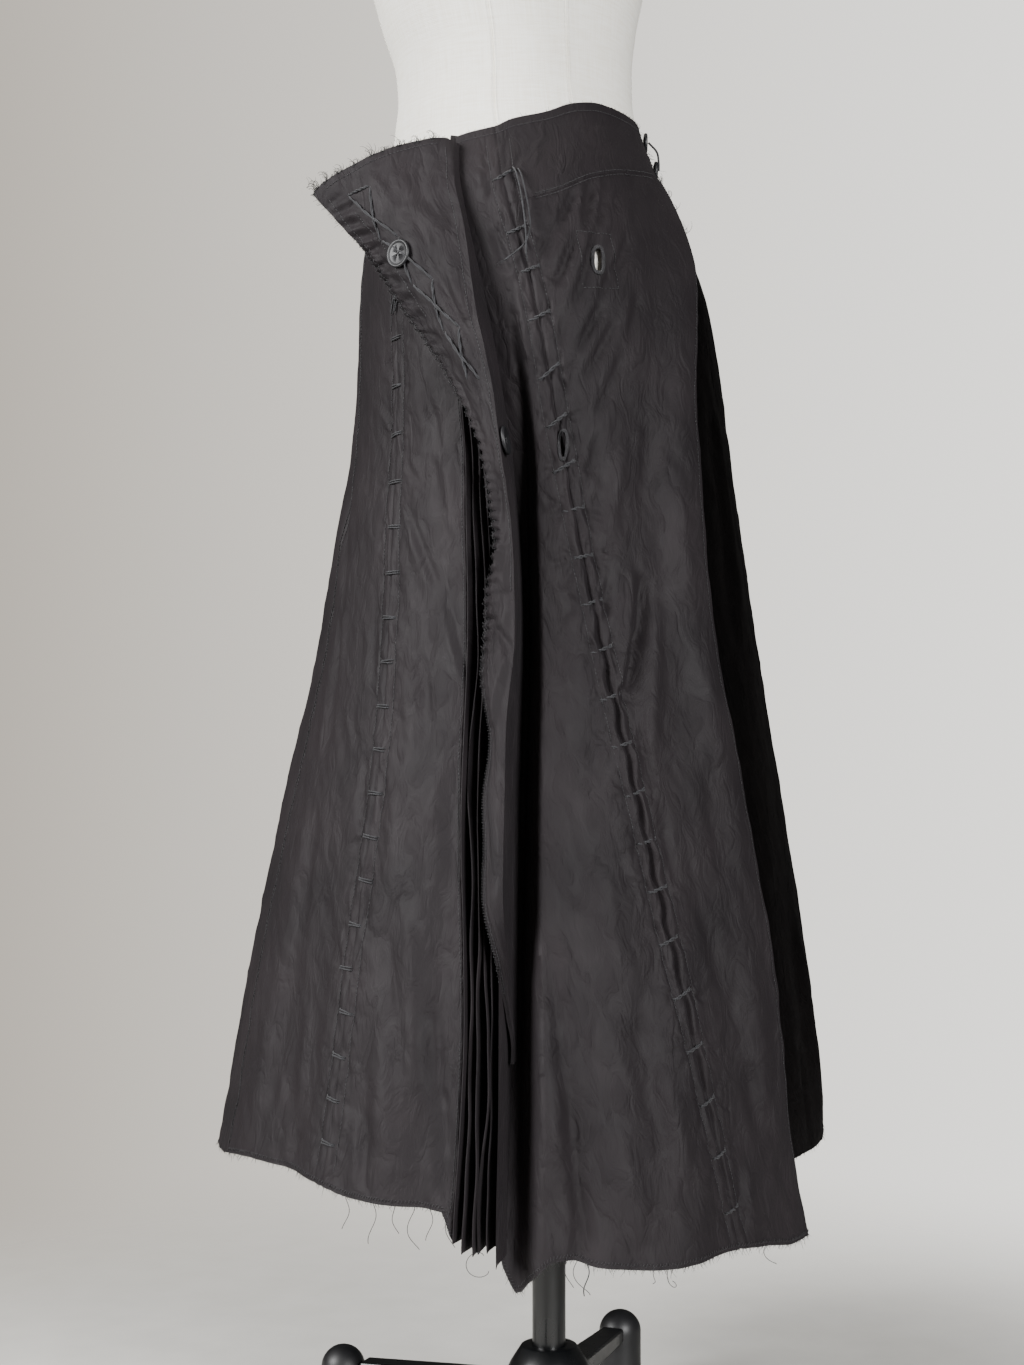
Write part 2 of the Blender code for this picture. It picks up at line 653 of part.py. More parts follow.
def build_buttons():
    """Two buttons on the flap and two at the right back closure."""
    step = 0.01
    for name, surface, (share, across), way in (
            ("flap_button_upper", flap_point, FACE_BUTTON, -1.0),
            ("flap_button_lower", return_point, RETURN_BUTTON, 1.0)):
        place = surface(share, across)
        down = surface(share + step, across) - surface(share - step, across)
        aside = surface(share, across + step) - surface(share, across - step)
        build_button(name, BUTTON_RADIUS, BUTTON_LIFT, place, down.cross(aside) * way)
    names = ("back_button_upper", "back_button_lower")
    for name, (angle, height) in zip(names, BACK_BUTTONS):
        place = surface_point(angle, height, 0.0)
        rise = surface_point(angle, height + step, 0.0) - surface_point(angle, height - step, 0.0)
        aside = surface_point(angle + 1.0, height, 0.0) - surface_point(angle - 1.0, height, 0.0)
        build_button(name, BACK_BUTTON_RADIUS, BACK_BUTTON_LIFT, place, aside.cross(rise))


def smooth_route(points, count):
    """Evenly spaced points on a smooth curve through a route's own points."""
    ends = [points[0] * 2 - points[1]] + points + [points[-1] * 2 - points[-2]]
    fine = []
    per_span = 12
    for index in range(1, len(ends) - 2):
        for step in range(per_span):
            share = step / per_span
            a, b, c, d = ends[index - 1:index + 3]
            fine.append(0.5 * (2 * b + (c - a) * share + (2 * a - 5 * b + 4 * c - d) * share ** 2
                               + (3 * b - a - 3 * c + d) * share ** 3))
    fine.append(points[-1])
    travelled = [0.0]
    for before, after in zip(fine, fine[1:]):
        travelled.append(travelled[-1] + (after - before).length)
    route = []
    place = 0
    for index in range(count):
        wanted = travelled[-1] * index / (count - 1)
        while place < len(fine) - 2 and travelled[place + 1] < wanted:
            place += 1
        share = (wanted - travelled[place]) / (travelled[place + 1] - travelled[place])
        route.append(fine[place].lerp(fine[place + 1], share))
    return route


def build_tail(name, table):
    """A free end of lace, hanging over the right laced seam."""
    route = smooth_route([surface_point(row.angle, row.height, row.lift) for row in table],
                         TAIL_POINTS)
    curve = bpy.data.curves.new(name, "CURVE")
    curve.dimensions = "3D"
    spline = curve.splines.new("POLY")
    spline.points.add(len(route) - 1)
    for point, place in zip(spline.points, route):
        point.co = (*place, 1.0)
    curve.bevel_depth = TAIL_RADIUS
    curve.bevel_resolution = 2
    curve.use_fill_caps = True
    curve.materials.append(make_material(name, LACE_FINISH))
    item = bpy.data.objects.new(name, curve)
    bpy.context.scene.collection.objects.link(item)
    return item


# ---- Dress form ----
def build_torso():
    """The linen-covered body, from its flat underside to the neck."""
    heights = [FORM_SECTIONS[0].height]
    for section in FORM_SECTIONS[1:]:
        last = heights[-1]
        steps = math.ceil((section.height - last) / FORM_STEP)
        heights += [last + (section.height - last) * (step + 1) / steps for step in range(steps)]
    rings = len(heights) - 1
    points = []
    for height in heights:
        front, back, half_width, square = read_table(FORM_SECTIONS, height)
        centre = (front + back) / 2.0
        half_length = (back - front) / 2.0
        for side in range(FORM_SIDES):
            turn = 2.0 * math.pi * side / FORM_SIDES
            across = math.cos(turn)
            ahead = math.sin(turn)
            x = centre + half_length * math.copysign(abs(across) ** (2.0 / square), across)
            y = half_width * math.copysign(abs(ahead) ** (2.0 / square), ahead)
            points.append((x, y, height))
    faces = [tuple(reversed(range(FORM_SIDES)))]
    for ring in range(rings):
        for side in range(FORM_SIDES):
            a = ring * FORM_SIDES + side
            b = ring * FORM_SIDES + (side + 1) % FORM_SIDES
            faces.append((a, b, b + FORM_SIDES, a + FORM_SIDES))
    last = rings * FORM_SIDES
    faces.append(tuple(range(last, last + FORM_SIDES)))
    return make_object("form_torso", points, faces, LINEN_FINISH)


def build_neck_cap():
    """The turned wooden cap that closes the neck."""
    base = FORM_SECTIONS[-1].height + PARTING
    radius = FORM_SECTIONS[-1].half_width
    top = base + NECK_CAP_HEIGHT
    profile = [(radius, base), (radius + NECK_CAP_EDGE, base + NECK_CAP_EDGE),
               (radius + NECK_CAP_EDGE, top - NECK_CAP_EDGE), (radius * 0.9, top)]
    return turned("form_neck_cap", profile, WOOD_FINISH)


# ---- Stand ----
def build_pole():
    """The pole, with the flange that the body stands on."""
    top = FORM_SECTIONS[0].height - PARTING
    profile = [(POLE_RADIUS, SOCKET_FLOOR + PARTING), (POLE_RADIUS, top - 2 * FLANGE_HEIGHT),
               (2 * POLE_RADIUS, top - FLANGE_HEIGHT), (FLANGE_RADIUS, top - FLANGE_HEIGHT * 0.7),
               (FLANGE_RADIUS, top)]
    return turned("stand_pole", profile, STEEL_FINISH)


def build_hub():
    """The hub, a cast collar with a socket for the pole."""
    bore = POLE_RADIUS + PARTING
    profile = [(HUB_RADIUS, HUB_BOTTOM), (HUB_RADIUS, LEG_TOP + 0.002),
               (HUB_RADIUS * 0.85, HUB_TOP - 0.012), (HUB_TOP_RADIUS, HUB_TOP),
               (bore, HUB_TOP), (bore, SOCKET_FLOOR)]
    return turned("stand_hub", profile, STEEL_FINISH)


def build_leg(index):
    """One tapered leg from the hub to its foot."""
    hub_side = HUB_RADIUS + PARTING
    foot_side = LEG_REACH - FOOT_RADIUS - PARTING
    half_wide = LEG_WIDTH / 2.0
    half_narrow = LEG_TIP_WIDTH / 2.0
    points = []
    for reach, half, low, high in ((hub_side, half_wide, LEG_BOTTOM, LEG_TOP),
                                   (foot_side, half_narrow, LEG_BOTTOM, LEG_TOP - 0.004)):
        points += [(reach, -half, low), (reach, half, low), (reach, half, high),
                   (reach, -half, high)]
    faces = [(0, 3, 2, 1), (4, 5, 6, 7), (0, 1, 5, 4), (1, 2, 6, 5), (2, 3, 7, 6), (3, 0, 4, 7)]
    leg = make_object(f"stand_leg_{index + 1}", points, faces, STEEL_FINISH)
    leg.rotation_euler.z = math.radians(90.0 - LEG_TURN + 360.0 / LEG_COUNT * index)
    edge = leg.modifiers.new("round_edges", "BEVEL")
    edge.width = 0.002
    edge.segments = 2
    return leg


def build_foot(index):
    """One hooded foot: a round dome with a flat pad on the floor."""
    profile = [(FOOT_PAD_RADIUS, 0.0), (FOOT_RADIUS, 0.004)]
    dome = FOOT_HEIGHT - FOOT_RADIUS
    steps = 4
    for step in range(steps):
        turn = math.pi / 2.0 * step / steps
        profile.append((FOOT_RADIUS * math.cos(turn), dome + FOOT_RADIUS * math.sin(turn)))
    foot = turned(f"stand_foot_{index + 1}", profile, NYLON_FINISH)
    turn = math.radians(90.0 - LEG_TURN + 360.0 / LEG_COUNT * index)
    foot.location = (LEG_REACH * math.cos(turn), LEG_REACH * math.sin(turn), 0.0)
    return foot


def centre_on_footprint():
    """Moves everything so that the origin is on the floor below the middle of the whole."""
    bpy.context.view_layer.update()
    graph = bpy.context.evaluated_depsgraph_get()
    low = Vector((math.inf, math.inf))
    high = -low
    for item in bpy.context.scene.objects:
        if item.hide_render:
            continue
        shape = item.evaluated_get(graph)
        mesh = shape.to_mesh()
        for vertex in mesh.vertices:
            place = (shape.matrix_world @ vertex.co).xy
            low = Vector(map(min, low, place))
            high = Vector(map(max, high, place))
        shape.to_mesh_clear()
    middle = (low + high) / 2.0
    for item in bpy.context.scene.objects:
        item.location.x -= middle.x
        item.location.y -= middle.y
    print("pole axis at", tuple(round(-value, 6) for value in middle))


def main():
    """Builds the whole part."""
    for item in list(bpy.data.objects):
        bpy.data.objects.remove(item, do_unlink=True)
    build_back_left()
    build_left_side()
    build_left_front()
    build_pleats()
    build_centre_front()
    build_right_front()
    build_yoke()
    build_back_right()
    build_flap()
    build_buttons()
    build_tail("lace_tail_long", LONG_TAIL)
    build_tail("lace_tail_short", SHORT_TAIL)
    build_torso()
    build_neck_cap()
    build_pole()
    build_hub()
    for index in range(LEG_COUNT):
        build_leg(index)
        build_foot(index)
    centre_on_footprint()


main()
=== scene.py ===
"""Laced wrap skirt on a limbless dress form with its stand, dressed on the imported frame.

Lengths are in metres and +Z is up.  Angles go round the form in degrees: 0 faces the viewer
(-Y), 90 the viewer's right (+X), -90 the left and 180 the back.  "Fall" runs down the cloth
from 0 at its top edge to 1 at its hem.
"""

import json
import logging
import math
import random
from dataclasses import dataclass
from enum import Enum
from typing import Callable, ClassVar, NamedTuple, Sequence

import bpy
import numpy as np
from mathutils import Matrix, Vector, noise

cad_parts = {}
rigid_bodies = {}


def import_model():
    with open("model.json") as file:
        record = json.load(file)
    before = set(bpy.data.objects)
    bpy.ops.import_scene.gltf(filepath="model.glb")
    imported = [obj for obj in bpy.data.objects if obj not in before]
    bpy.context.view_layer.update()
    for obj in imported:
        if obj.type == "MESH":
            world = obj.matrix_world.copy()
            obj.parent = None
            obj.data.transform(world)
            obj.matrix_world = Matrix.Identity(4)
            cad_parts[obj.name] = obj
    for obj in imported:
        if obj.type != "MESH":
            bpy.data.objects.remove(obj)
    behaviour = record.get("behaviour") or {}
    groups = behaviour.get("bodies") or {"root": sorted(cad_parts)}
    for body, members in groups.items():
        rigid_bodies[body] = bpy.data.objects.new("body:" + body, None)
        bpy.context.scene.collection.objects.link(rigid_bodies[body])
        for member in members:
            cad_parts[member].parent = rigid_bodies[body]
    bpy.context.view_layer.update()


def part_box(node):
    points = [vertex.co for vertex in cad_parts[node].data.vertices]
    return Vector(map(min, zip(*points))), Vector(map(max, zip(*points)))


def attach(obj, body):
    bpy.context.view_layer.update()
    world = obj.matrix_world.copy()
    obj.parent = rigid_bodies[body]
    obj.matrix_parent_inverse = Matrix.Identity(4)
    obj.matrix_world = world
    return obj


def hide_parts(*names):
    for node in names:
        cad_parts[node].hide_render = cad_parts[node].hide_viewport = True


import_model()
LOG = logging.getLogger("skirt")

Array = np.ndarray
EdgeCurve = Callable[[Array], Array]

# ---- The garment's sizes, the same as in the part's source ----
SKIRT_SECTIONS = (  # height, left, right, half depth
    (0.180, -0.2530, 0.2080, 0.2960), (0.235, -0.2455, 0.2035, 0.2860),
    (0.300, -0.2335, 0.1976, 0.2710), (0.400, -0.2155, 0.1852, 0.2490),
    (0.500, -0.1948, 0.1700, 0.2270), (0.600, -0.1725, 0.1550, 0.2050),
    (0.680, -0.1590, 0.1437, 0.1910), (0.740, -0.1472, 0.1345, 0.1830),
    (0.800, -0.1426, 0.1262, 0.1765), (0.860, -0.1410, 0.1150, 0.1690),
    (0.920, -0.1330, 0.0945, 0.1510), (0.960, -0.1194, 0.0768, 0.1288),
    (0.985, -0.1169, 0.0679, 0.1179), (1.000, -0.1150, 0.0648, 0.1152),
)
TOP_EDGE = (  # angle, height
    (-180.0, 0.986), (-150.0, 0.980), (-115.0, 0.960), (-90.0, 0.947), (-60.0, 0.945),
    (-40.0, 0.951), (-25.0, 0.9585), (-10.0, 0.9630), (-4.0, 0.9675), (11.0, 0.9738),
    (26.0, 0.9835), (40.0, 0.9870), (60.0, 0.9865), (90.0, 0.9875), (180.0, 0.986),
)
FRONT_HEM = (
    (-180.0, 0.246), (-120.0, 0.243), (-90.0, 0.237), (-72.0, 0.2445), (-54.0, 0.254),
    (-46.0, 0.254), (-37.0, 0.2505), (-30.0, 0.2453), (-20.0, 0.2447), (-13.4, 0.2434),
    (-11.4, 0.228), (-8.7, 0.2185), (-5.5, 0.220), (-2.8, 0.2015), (-0.7, 0.190),
    (1.6, 0.202), (5.0, 0.2145), (8.0, 0.215), (12.0, 0.2103), (25.0, 0.205),
    (36.0, 0.2085), (45.0, 0.205), (52.0, 0.2005), (60.0, 0.200),
)
BACK_HEM = ((30.0, 0.251), (60.0, 0.250), (90.0, 0.248), (180.0, 0.246))
SEAMS = (  # fall, side, left lace, pleats, valley, right lace, right edge
    (0.00, -78.0, -49.0, -36.0, -29.0, -10.8, 84.0),
    (0.06, -78.0, -49.0, -33.0, -25.0, -7.3, 72.0),
    (0.15, -76.0, -48.5, -28.0, -19.5, -1.8, 58.5),
    (0.29, -72.0, -46.7, -22.6, -13.6, 3.9, 46.0),
    (0.45, -68.5, -40.4, -18.0, -8.2, 12.3, 43.5),
    (0.66, -66.5, -35.9, -15.0, -6.6, 23.2, 49.0),
    (0.85, -64.5, -35.8, -11.4, -5.1, 31.5, 51.2),
    (1.00, -63.5, -35.7, -11.0, -3.9, 38.7, 58.0),
)
FOLDS = (  # angle, spread, depth at the hem, fall at which it starts
    (-62.0, 7.0, 0.006, 0.45), (-46.0, 5.0, -0.004, 0.55), (-17.0, 2.5, -0.004, 0.60),
    (-24.0, 4.0, 0.003, 0.50), (9.0, 3.0, -0.004, 0.60), (29.0, 6.0, 0.004, 0.50),
    (104.0, 6.0, 0.010, 0.30), (122.0, 8.0, -0.010, 0.35), (144.0, 9.0, 0.012, 0.30),
    (164.0, 6.0, -0.009, 0.40), (-164.0, 8.0, 0.011, 0.30), (-146.0, 8.0, -0.010, 0.35),
    (-126.0, 8.0, 0.011, 0.30), (-107.0, 7.0, -0.008, 0.40),
)
VALLEY = (  # fall, depth of the valley beside the flap
    (0.0, 0.0), (0.05, 0.0012), (0.12, 0.0036), (0.16, 0.0050), (0.22, 0.0085), (0.27, 0.0130),
    (0.33, 0.0240), (0.40, 0.0360), (0.55, 0.0430), (0.80, 0.0430), (0.92, 0.0340), (1.0, 0.0260),
)
PLEATS = (  # fall, outward reach, inward reach
    (0.0, 0.0040, 0.0003), (0.20, 0.0035, 0.0015), (0.32, 0.0030, 0.0040),
    (0.42, 0.0030, 0.0120), (0.55, 0.0030, 0.0260), (1.0, 0.0040, 0.0280),
)
YOKE_DEPTH = ((-8.0, 0.065), (2.0, 0.063), (19.0, 0.0585), (40.0, 0.053), (60.0, 0.046),
              (90.0, 0.038))
FLAP = (  # the fold's x, y and z, the free edge's x, y and z, and the roll of the cloth
    (-0.0693, -0.130, 0.9510, -0.1680, -0.098, 0.9205, 0.004),
    (-0.0665, -0.147, 0.9170, -0.1500, -0.108, 0.8990, 0.007),
    (-0.0605, -0.162, 0.8870, -0.1300, -0.117, 0.8760, 0.008),
    (-0.0530, -0.180, 0.8330, -0.1030, -0.135, 0.8350, 0.007),
    (-0.0415, -0.195, 0.7750, -0.0730, -0.166, 0.7860, 0.005),
    (-0.0340, -0.206, 0.7230, -0.0478, -0.187, 0.7290, 0.003),
    (-0.0275, -0.212, 0.6700, -0.0410, -0.198, 0.6700, 0.002),
    (-0.0260, -0.220, 0.6100, -0.0440, -0.209, 0.6100, 0.002),
    (-0.0320, -0.233, 0.5400, -0.0465, -0.224, 0.5400, 0.002),
    (-0.0330, -0.248, 0.4700, -0.0450, -0.240, 0.4700, 0.002),
    (-0.0345, -0.264, 0.4000, -0.0440, -0.257, 0.4000, 0.002),
    (-0.0350, -0.278, 0.3300, -0.0420, -0.272, 0.3300, 0.001),
)
LONG_TAIL = (  # angle, height, lift off the cloth
    (-2.0, 0.9275, 0.0012), (-0.9, 0.9220, 0.0038), (-0.1, 0.9067, 0.0050),
    (0.2, 0.8950, 0.0048), (0.0, 0.8841, 0.0046), (-1.8, 0.8734, 0.0044),
    (-4.8, 0.8670, 0.0042), (-8.4, 0.8611, 0.0040),
)
SHORT_TAIL = (
    (-3.8, 0.9290, 0.0012), (-2.6, 0.9240, 0.0046), (-1.6, 0.9080, 0.0064),
    (-1.4, 0.8950, 0.0066), (-1.4, 0.8841, 0.0066), (-1.6, 0.8740, 0.0066),
    (-2.0, 0.8640, 0.0066),
)
FORM_SECTIONS = (  # height, front, back, half width, squareness
    (0.735, -0.1120, 0.1000, 0.1580, 2.0), (0.750, -0.1180, 0.1060, 0.1630, 2.0),
    (0.800, -0.1250, 0.1120, 0.1680, 2.0), (0.860, -0.1270, 0.1060, 0.1620, 2.0),
    (0.920, -0.1205, 0.0870, 0.1430, 2.0), (0.960, -0.1165, 0.0735, 0.1250, 2.0),
    (0.985, -0.1150, 0.0660, 0.1160, 2.0), (1.008, -0.1125, 0.0620, 0.1125, 2.0),
    (1.030, -0.1140, 0.0615, 0.1135, 2.0), (1.059, -0.1230, 0.0642, 0.1180, 2.0),
    (1.088, -0.1312, 0.0698, 0.1245, 2.0), (1.150, -0.1500, 0.0800, 0.1390, 2.1),
    (1.205, -0.1580, 0.0880, 0.1490, 2.2), (1.265, -0.1470, 0.0950, 0.1560, 2.3),
    (1.325, -0.1190, 0.0980, 0.1620, 2.3), (1.370, -0.0950, 0.0910, 0.1520, 2.2),
    (1.400, -0.0770, 0.0780, 0.1180, 2.0), (1.422, -0.0650, 0.0650, 0.0800, 2.0),
    (1.450, -0.0560, 0.0560, 0.0560, 2.0), (1.500, -0.0500, 0.0500, 0.0500, 2.0),
)

# ---- Creases: angle and height of both ends, width and depth in mm ----
CREASES = (
    # left side and left front
    (-38.9, 0.701, -25.5, 0.638, 4.0, -1.2), (-24.1, 0.638, -15.3, 0.571, 4.0, -1.2),
    (-41.9, 0.729, -31.7, 0.700, 3.0, -0.8), (-57.7, 0.779, -48.0, 0.755, 3.0, -0.8),
    (-73.7, 0.723, -58.4, 0.620, 7.0, -1.6), (-61.5, 0.620, -54.2, 0.522, 8.0, -1.6),
    (-45.5, 0.633, -41.6, 0.564, 5.0, -0.8), (-37.9, 0.784, -26.0, 0.720, 6.0, -1.2),
    (-30.3, 0.755, -20.1, 0.658, 7.0, 1.2), (-30.3, 0.605, -23.3, 0.525, 8.0, -1.4),
    (-30.7, 0.524, -28.2, 0.433, 9.0, 1.5), (-40.2, 0.524, -38.6, 0.477, 4.0, -1.0),
    (-34.3, 0.458, -33.4, 0.413, 4.0, -1.0), (-18.4, 0.365, -15.2, 0.304, 7.0, -2.4),
    (-15.2, 0.318, -12.5, 0.248, 7.0, -2.6), (-24.1, 0.434, -18.3, 0.310, 12.0, 2.4),
    (-28.7, 0.300, -27.2, 0.246, 5.0, -1.8), (-44.1, 0.279, -45.4, 0.256, 5.0, -1.5),
    (-27.1, 0.370, -24.5, 0.272, 10.0, 1.8), (-54.2, 0.495, -51.9, 0.387, 10.0, -1.6),
    (-51.9, 0.400, -52.6, 0.280, 11.0, -1.8), (-46.5, 0.362, -44.6, 0.285, 9.0, 1.5),
    (-18.2, 0.525, -14.9, 0.435, 8.0, -1.2), (-60.8, 0.663, -54.5, 0.564, 8.0, 1.2),
    # centre front
    (3.1, 0.416, 6.6, 0.317, 6.0, -1.8), (6.4, 0.327, 8.7, 0.263, 6.0, -2.0),
    (8.6, 0.270, 11.0, 0.216, 6.0, -2.2), (8.2, 0.236, 9.5, 0.213, 4.0, -1.6),
    (-0.1, 0.371, 3.7, 0.250, 14.0, 2.4), (13.1, 0.461, 18.1, 0.366, 12.0, 1.6),
    (20.1, 0.365, 23.7, 0.272, 13.0, -1.8), (15.8, 0.298, 19.1, 0.219, 12.0, 2.0),
    (11.4, 0.564, 13.3, 0.499, 9.0, -0.9), (3.6, 0.617, 9.3, 0.628, 4.0, -0.9),
    (4.5, 0.637, 9.0, 0.657, 4.0, -0.8), (23.4, 0.333, 28.0, 0.258, 8.0, 1.4),
    # right front
    (24.8, 0.924, 16.8, 0.880, 4.0, -2.2), (16.8, 0.892, 5.5, 0.841, 4.0, -2.6),
    (17.9, 0.915, 7.9, 0.882, 4.0, -1.6), (7.9, 0.890, 3.2, 0.863, 3.5, -1.4),
    (30.3, 0.926, 23.0, 0.882, 3.5, -1.4), (23.0, 0.890, 8.8, 0.822, 4.0, -2.0),
    (8.8, 0.830, 5.4, 0.800, 4.0, -1.2), (33.8, 0.885, 26.1, 0.856, 4.0, -2.4),
    (26.1, 0.864, 19.0, 0.835, 4.0, -1.4), (37.9, 0.925, 27.1, 0.895, 3.5, -1.2),
    (46.6, 0.923, 35.5, 0.888, 4.0, -1.2), (20.3, 0.836, 10.6, 0.799, 4.0, -1.8),
    (23.5, 0.822, 11.2, 0.778, 4.0, -1.5), (25.3, 0.802, 13.5, 0.749, 4.5, -1.2),
    (33.6, 0.846, 27.4, 0.809, 5.0, -1.4), (19.6, 0.899, 10.4, 0.869, 3.5, 1.3),
    (30.7, 0.909, 18.1, 0.862, 3.0, 0.9), (26.2, 0.650, 24.0, 0.598, 6.0, -3.6),
    (24.2, 0.612, 20.7, 0.570, 5.0, -3.6), (20.9, 0.582, 18.7, 0.557, 4.0, -2.0),
    (28.9, 0.632, 25.4, 0.525, 9.0, 2.2), (17.7, 0.658, 14.4, 0.604, 4.0, -1.2),
    (31.7, 0.755, 26.1, 0.686, 7.0, -1.0), (36.2, 0.714, 36.6, 0.632, 9.0, 1.4),
    (38.7, 0.605, 42.4, 0.503, 12.0, 1.6), (23.0, 0.551, 24.5, 0.505, 6.0, -1.6),
    (38.3, 0.524, 40.7, 0.444, 10.0, -1.2), (53.2, 0.437, 53.9, 0.359, 9.0, -3.6),
    (53.9, 0.379, 54.5, 0.286, 10.0, -2.6), (42.9, 0.397, 45.9, 0.291, 12.0, 2.2),
    (34.6, 0.432, 37.8, 0.373, 8.0, -1.4), (42.0, 0.326, 45.4, 0.272, 8.0, -1.6),
    (48.1, 0.264, 53.2, 0.221, 7.0, -1.6), (26.7, 0.498, 28.8, 0.440, 6.0, -1.4),
    (41.0, 0.262, 41.7, 0.214, 6.0, 1.4), (15.7, 0.746, 11.8, 0.712, 4.0, -1.2),
    (22.7, 0.740, 16.3, 0.671, 6.0, 1.2),
    # waist, yoke and the strip beside the flap
    (-6.0, 0.955, -7.5, 0.925, 3.0, -0.8), (6.0, 0.962, 4.0, 0.930, 4.0, 0.8),
    (-14.0, 0.950, -12.0, 0.905, 3.5, -0.9), (-12.5, 0.885, -7.0, 0.850, 4.0, -1.0),
    (30.0, 0.968, 42.0, 0.972, 3.0, -0.7), (28.0, 0.950, 34.0, 0.945, 3.0, -0.6),
    # right back
    (75.0, 0.900, 66.0, 0.760, 9.0, -2.0), (66.0, 0.780, 62.0, 0.600, 10.0, 2.0),
    (88.0, 0.880, 84.0, 0.700, 10.0, -2.0), (100.0, 0.930, 97.0, 0.760, 8.0, -1.6),
    (112.0, 0.930, 116.0, 0.780, 8.0, 1.6), (128.0, 0.940, 124.0, 0.790, 7.0, -1.6),
    (142.0, 0.920, 150.0, 0.760, 8.0, -1.5), (160.0, 0.930, 157.0, 0.800, 7.0, -1.4),
    (64.0, 0.330, 66.0, 0.252, 9.0, -2.6), (70.0, 0.420, 75.0, 0.252, 14.0, 3.0),
    (86.0, 0.480, 82.0, 0.260, 12.0, -2.6), (95.0, 0.640, 108.0, 0.520, 9.0, -1.6),
    (130.0, 0.620, 118.0, 0.500, 9.0, -1.6), (150.0, 0.560, 160.0, 0.440, 9.0, 1.6),
    (168.0, 0.700, 172.0, 0.560, 8.0, -1.4), (138.0, 0.400, 132.0, 0.260, 9.0, -2.0),
    # left back
    (-90.0, 0.900, -96.0, 0.760, 8.0, -1.6), (-104.0, 0.920, -100.0, 0.780, 8.0, 1.5),
    (-118.0, 0.930, -122.0, 0.780, 7.0, -1.6), (-134.0, 0.930, -130.0, 0.800, 7.0, -1.4),
    (-150.0, 0.930, -156.0, 0.780, 8.0, -1.5), (-168.0, 0.920, -165.0, 0.790, 7.0, -1.2),
    (-88.0, 0.620, -98.0, 0.500, 9.0, -1.6), (-112.0, 0.600, -104.0, 0.480, 9.0, 1.5),
    (-132.0, 0.580, -142.0, 0.460, 9.0, -1.6), (-158.0, 0.600, -150.0, 0.480, 8.0, -1.5),
    (-84.0, 0.420, -80.0, 0.260, 10.0, -2.2), (-96.0, 0.400, -98.0, 0.250, 11.0, 2.2),
    (-118.0, 0.380, -114.0, 0.252, 9.0, -2.0), (-138.0, 0.390, -136.0, 0.252, 9.0, 1.8),
    (-156.0, 0.370, -158.0, 0.252, 9.0, -2.0), (-174.0, 0.440, -172.0, 0.252, 9.0, 1.6),
)
OPEN_HOLE = (20.3, 0.8634)      # angle and height of the open buttonhole's middle
SECOND_HOLE = (5.2, 0.7349)
LEFT_BARS = (  # angle and fall of each laced bar
    (-48.5, 0.189), (-48.0, 0.238), (-46.7, 0.288), (-44.7, 0.337), (-42.2, 0.383),
    (-40.4, 0.429), (-39.7, 0.473), (-38.4, 0.516), (-37.8, 0.559), (-36.9, 0.600),
    (-36.0, 0.641), (-35.6, 0.682), (-35.3, 0.722), (-36.3, 0.764), (-37.1, 0.805),
    (-35.7, 0.844), (-36.1, 0.884), (-36.2, 0.923), (-35.9, 0.962),
)
RIGHT_BARS = (
    (-7.3, 0.056), (-4.4, 0.110), (-1.1, 0.149), (0.3, 0.192), (2.2, 0.241), (3.7, 0.287),
    (5.4, 0.330), (8.1, 0.370), (10.5, 0.412), (12.5, 0.452), (14.4, 0.493), (16.2, 0.534),
    (18.5, 0.575), (21.1, 0.616), (23.2, 0.657), (24.9, 0.697), (26.5, 0.740), (28.4, 0.785),
    (30.4, 0.830), (32.8, 0.876), (35.1, 0.921), (37.4, 0.967),
)


# ---- Curves and the skirt's surface ----
class Curve:
    """A smooth curve through a table's rows that never overshoots them."""

    def __init__(self, rows: Sequence[Sequence[float]], column: int = 1) -> None:
        """Reads the key from each row's first column and the value from another.

        Args:
            rows: The table.
            column: Which column holds the value.
        """
        self.keys = np.array([row[0] for row in rows])
        self.values = np.array([row[column] for row in rows])
        rises = np.diff(self.values) / np.diff(self.keys)
        self.slopes = np.empty_like(self.keys)
        self.slopes[0] = rises[0]
        self.slopes[-1] = rises[-1]
        before = rises[:-1]
        after = rises[1:]
        same_way = before * after > 0.0
        total = np.where(same_way, before + after, 1.0)
        self.slopes[1:-1] = np.where(same_way, 2.0 * before * after / total, 0.0)

    def __call__(self, key: Array | float) -> Array:
        """Value at a key, held level beyond the table's ends.

        Args:
            key: One key or an array of them.

        Returns:
            The values, in the key's shape.
        """
        key = np.clip(np.asarray(key, float), self.keys[0], self.keys[-1])
        low = np.clip(np.searchsorted(self.keys, key, side="left") - 1, 0, len(self.keys) - 2)
        step = self.keys[low + 1] - self.keys[low]
        share = (key - self.keys[low]) / step
        squared = share ** 2
        cubed = share ** 3
        return ((2 * cubed - 3 * squared + 1) * self.values[low]
                + (cubed - 2 * squared + share) * step * self.slopes[low]
                + (3 * squared - 2 * cubed) * self.values[low + 1]
                + (cubed - squared) * step * self.slopes[low + 1])


def ease(share: Array | float) -> Array:
    """0 to 1 with a soft start and end."""
    share = np.clip(share, 0.0, 1.0)
    return share * share * (3.0 - 2.0 * share)


def half_turn(angle: Array) -> Array:
    """The same angle between -180 and 180 degrees, with 180 kept."""
    return np.where(angle > 180.0, angle - 360.0, np.where(angle < -180.0, angle + 360.0, angle))


def bell(away: Array | float, width: float, power: int = 2) -> Array:
    """1 in the middle, falling off to 0 on both sides; a higher power has a flatter top."""
    return np.exp(-(away / width) ** power)


def unit(vectors: Array) -> Array:
    """The same directions with a length of 1."""
    return vectors / np.linalg.norm(vectors, axis=-1, keepdims=True)


def travelled(route: Array) -> Array:
    """Metres along a route from its start to each of its points."""
    return np.concatenate([[0.0], np.cumsum(np.linalg.norm(np.diff(route, axis=0), axis=1))])


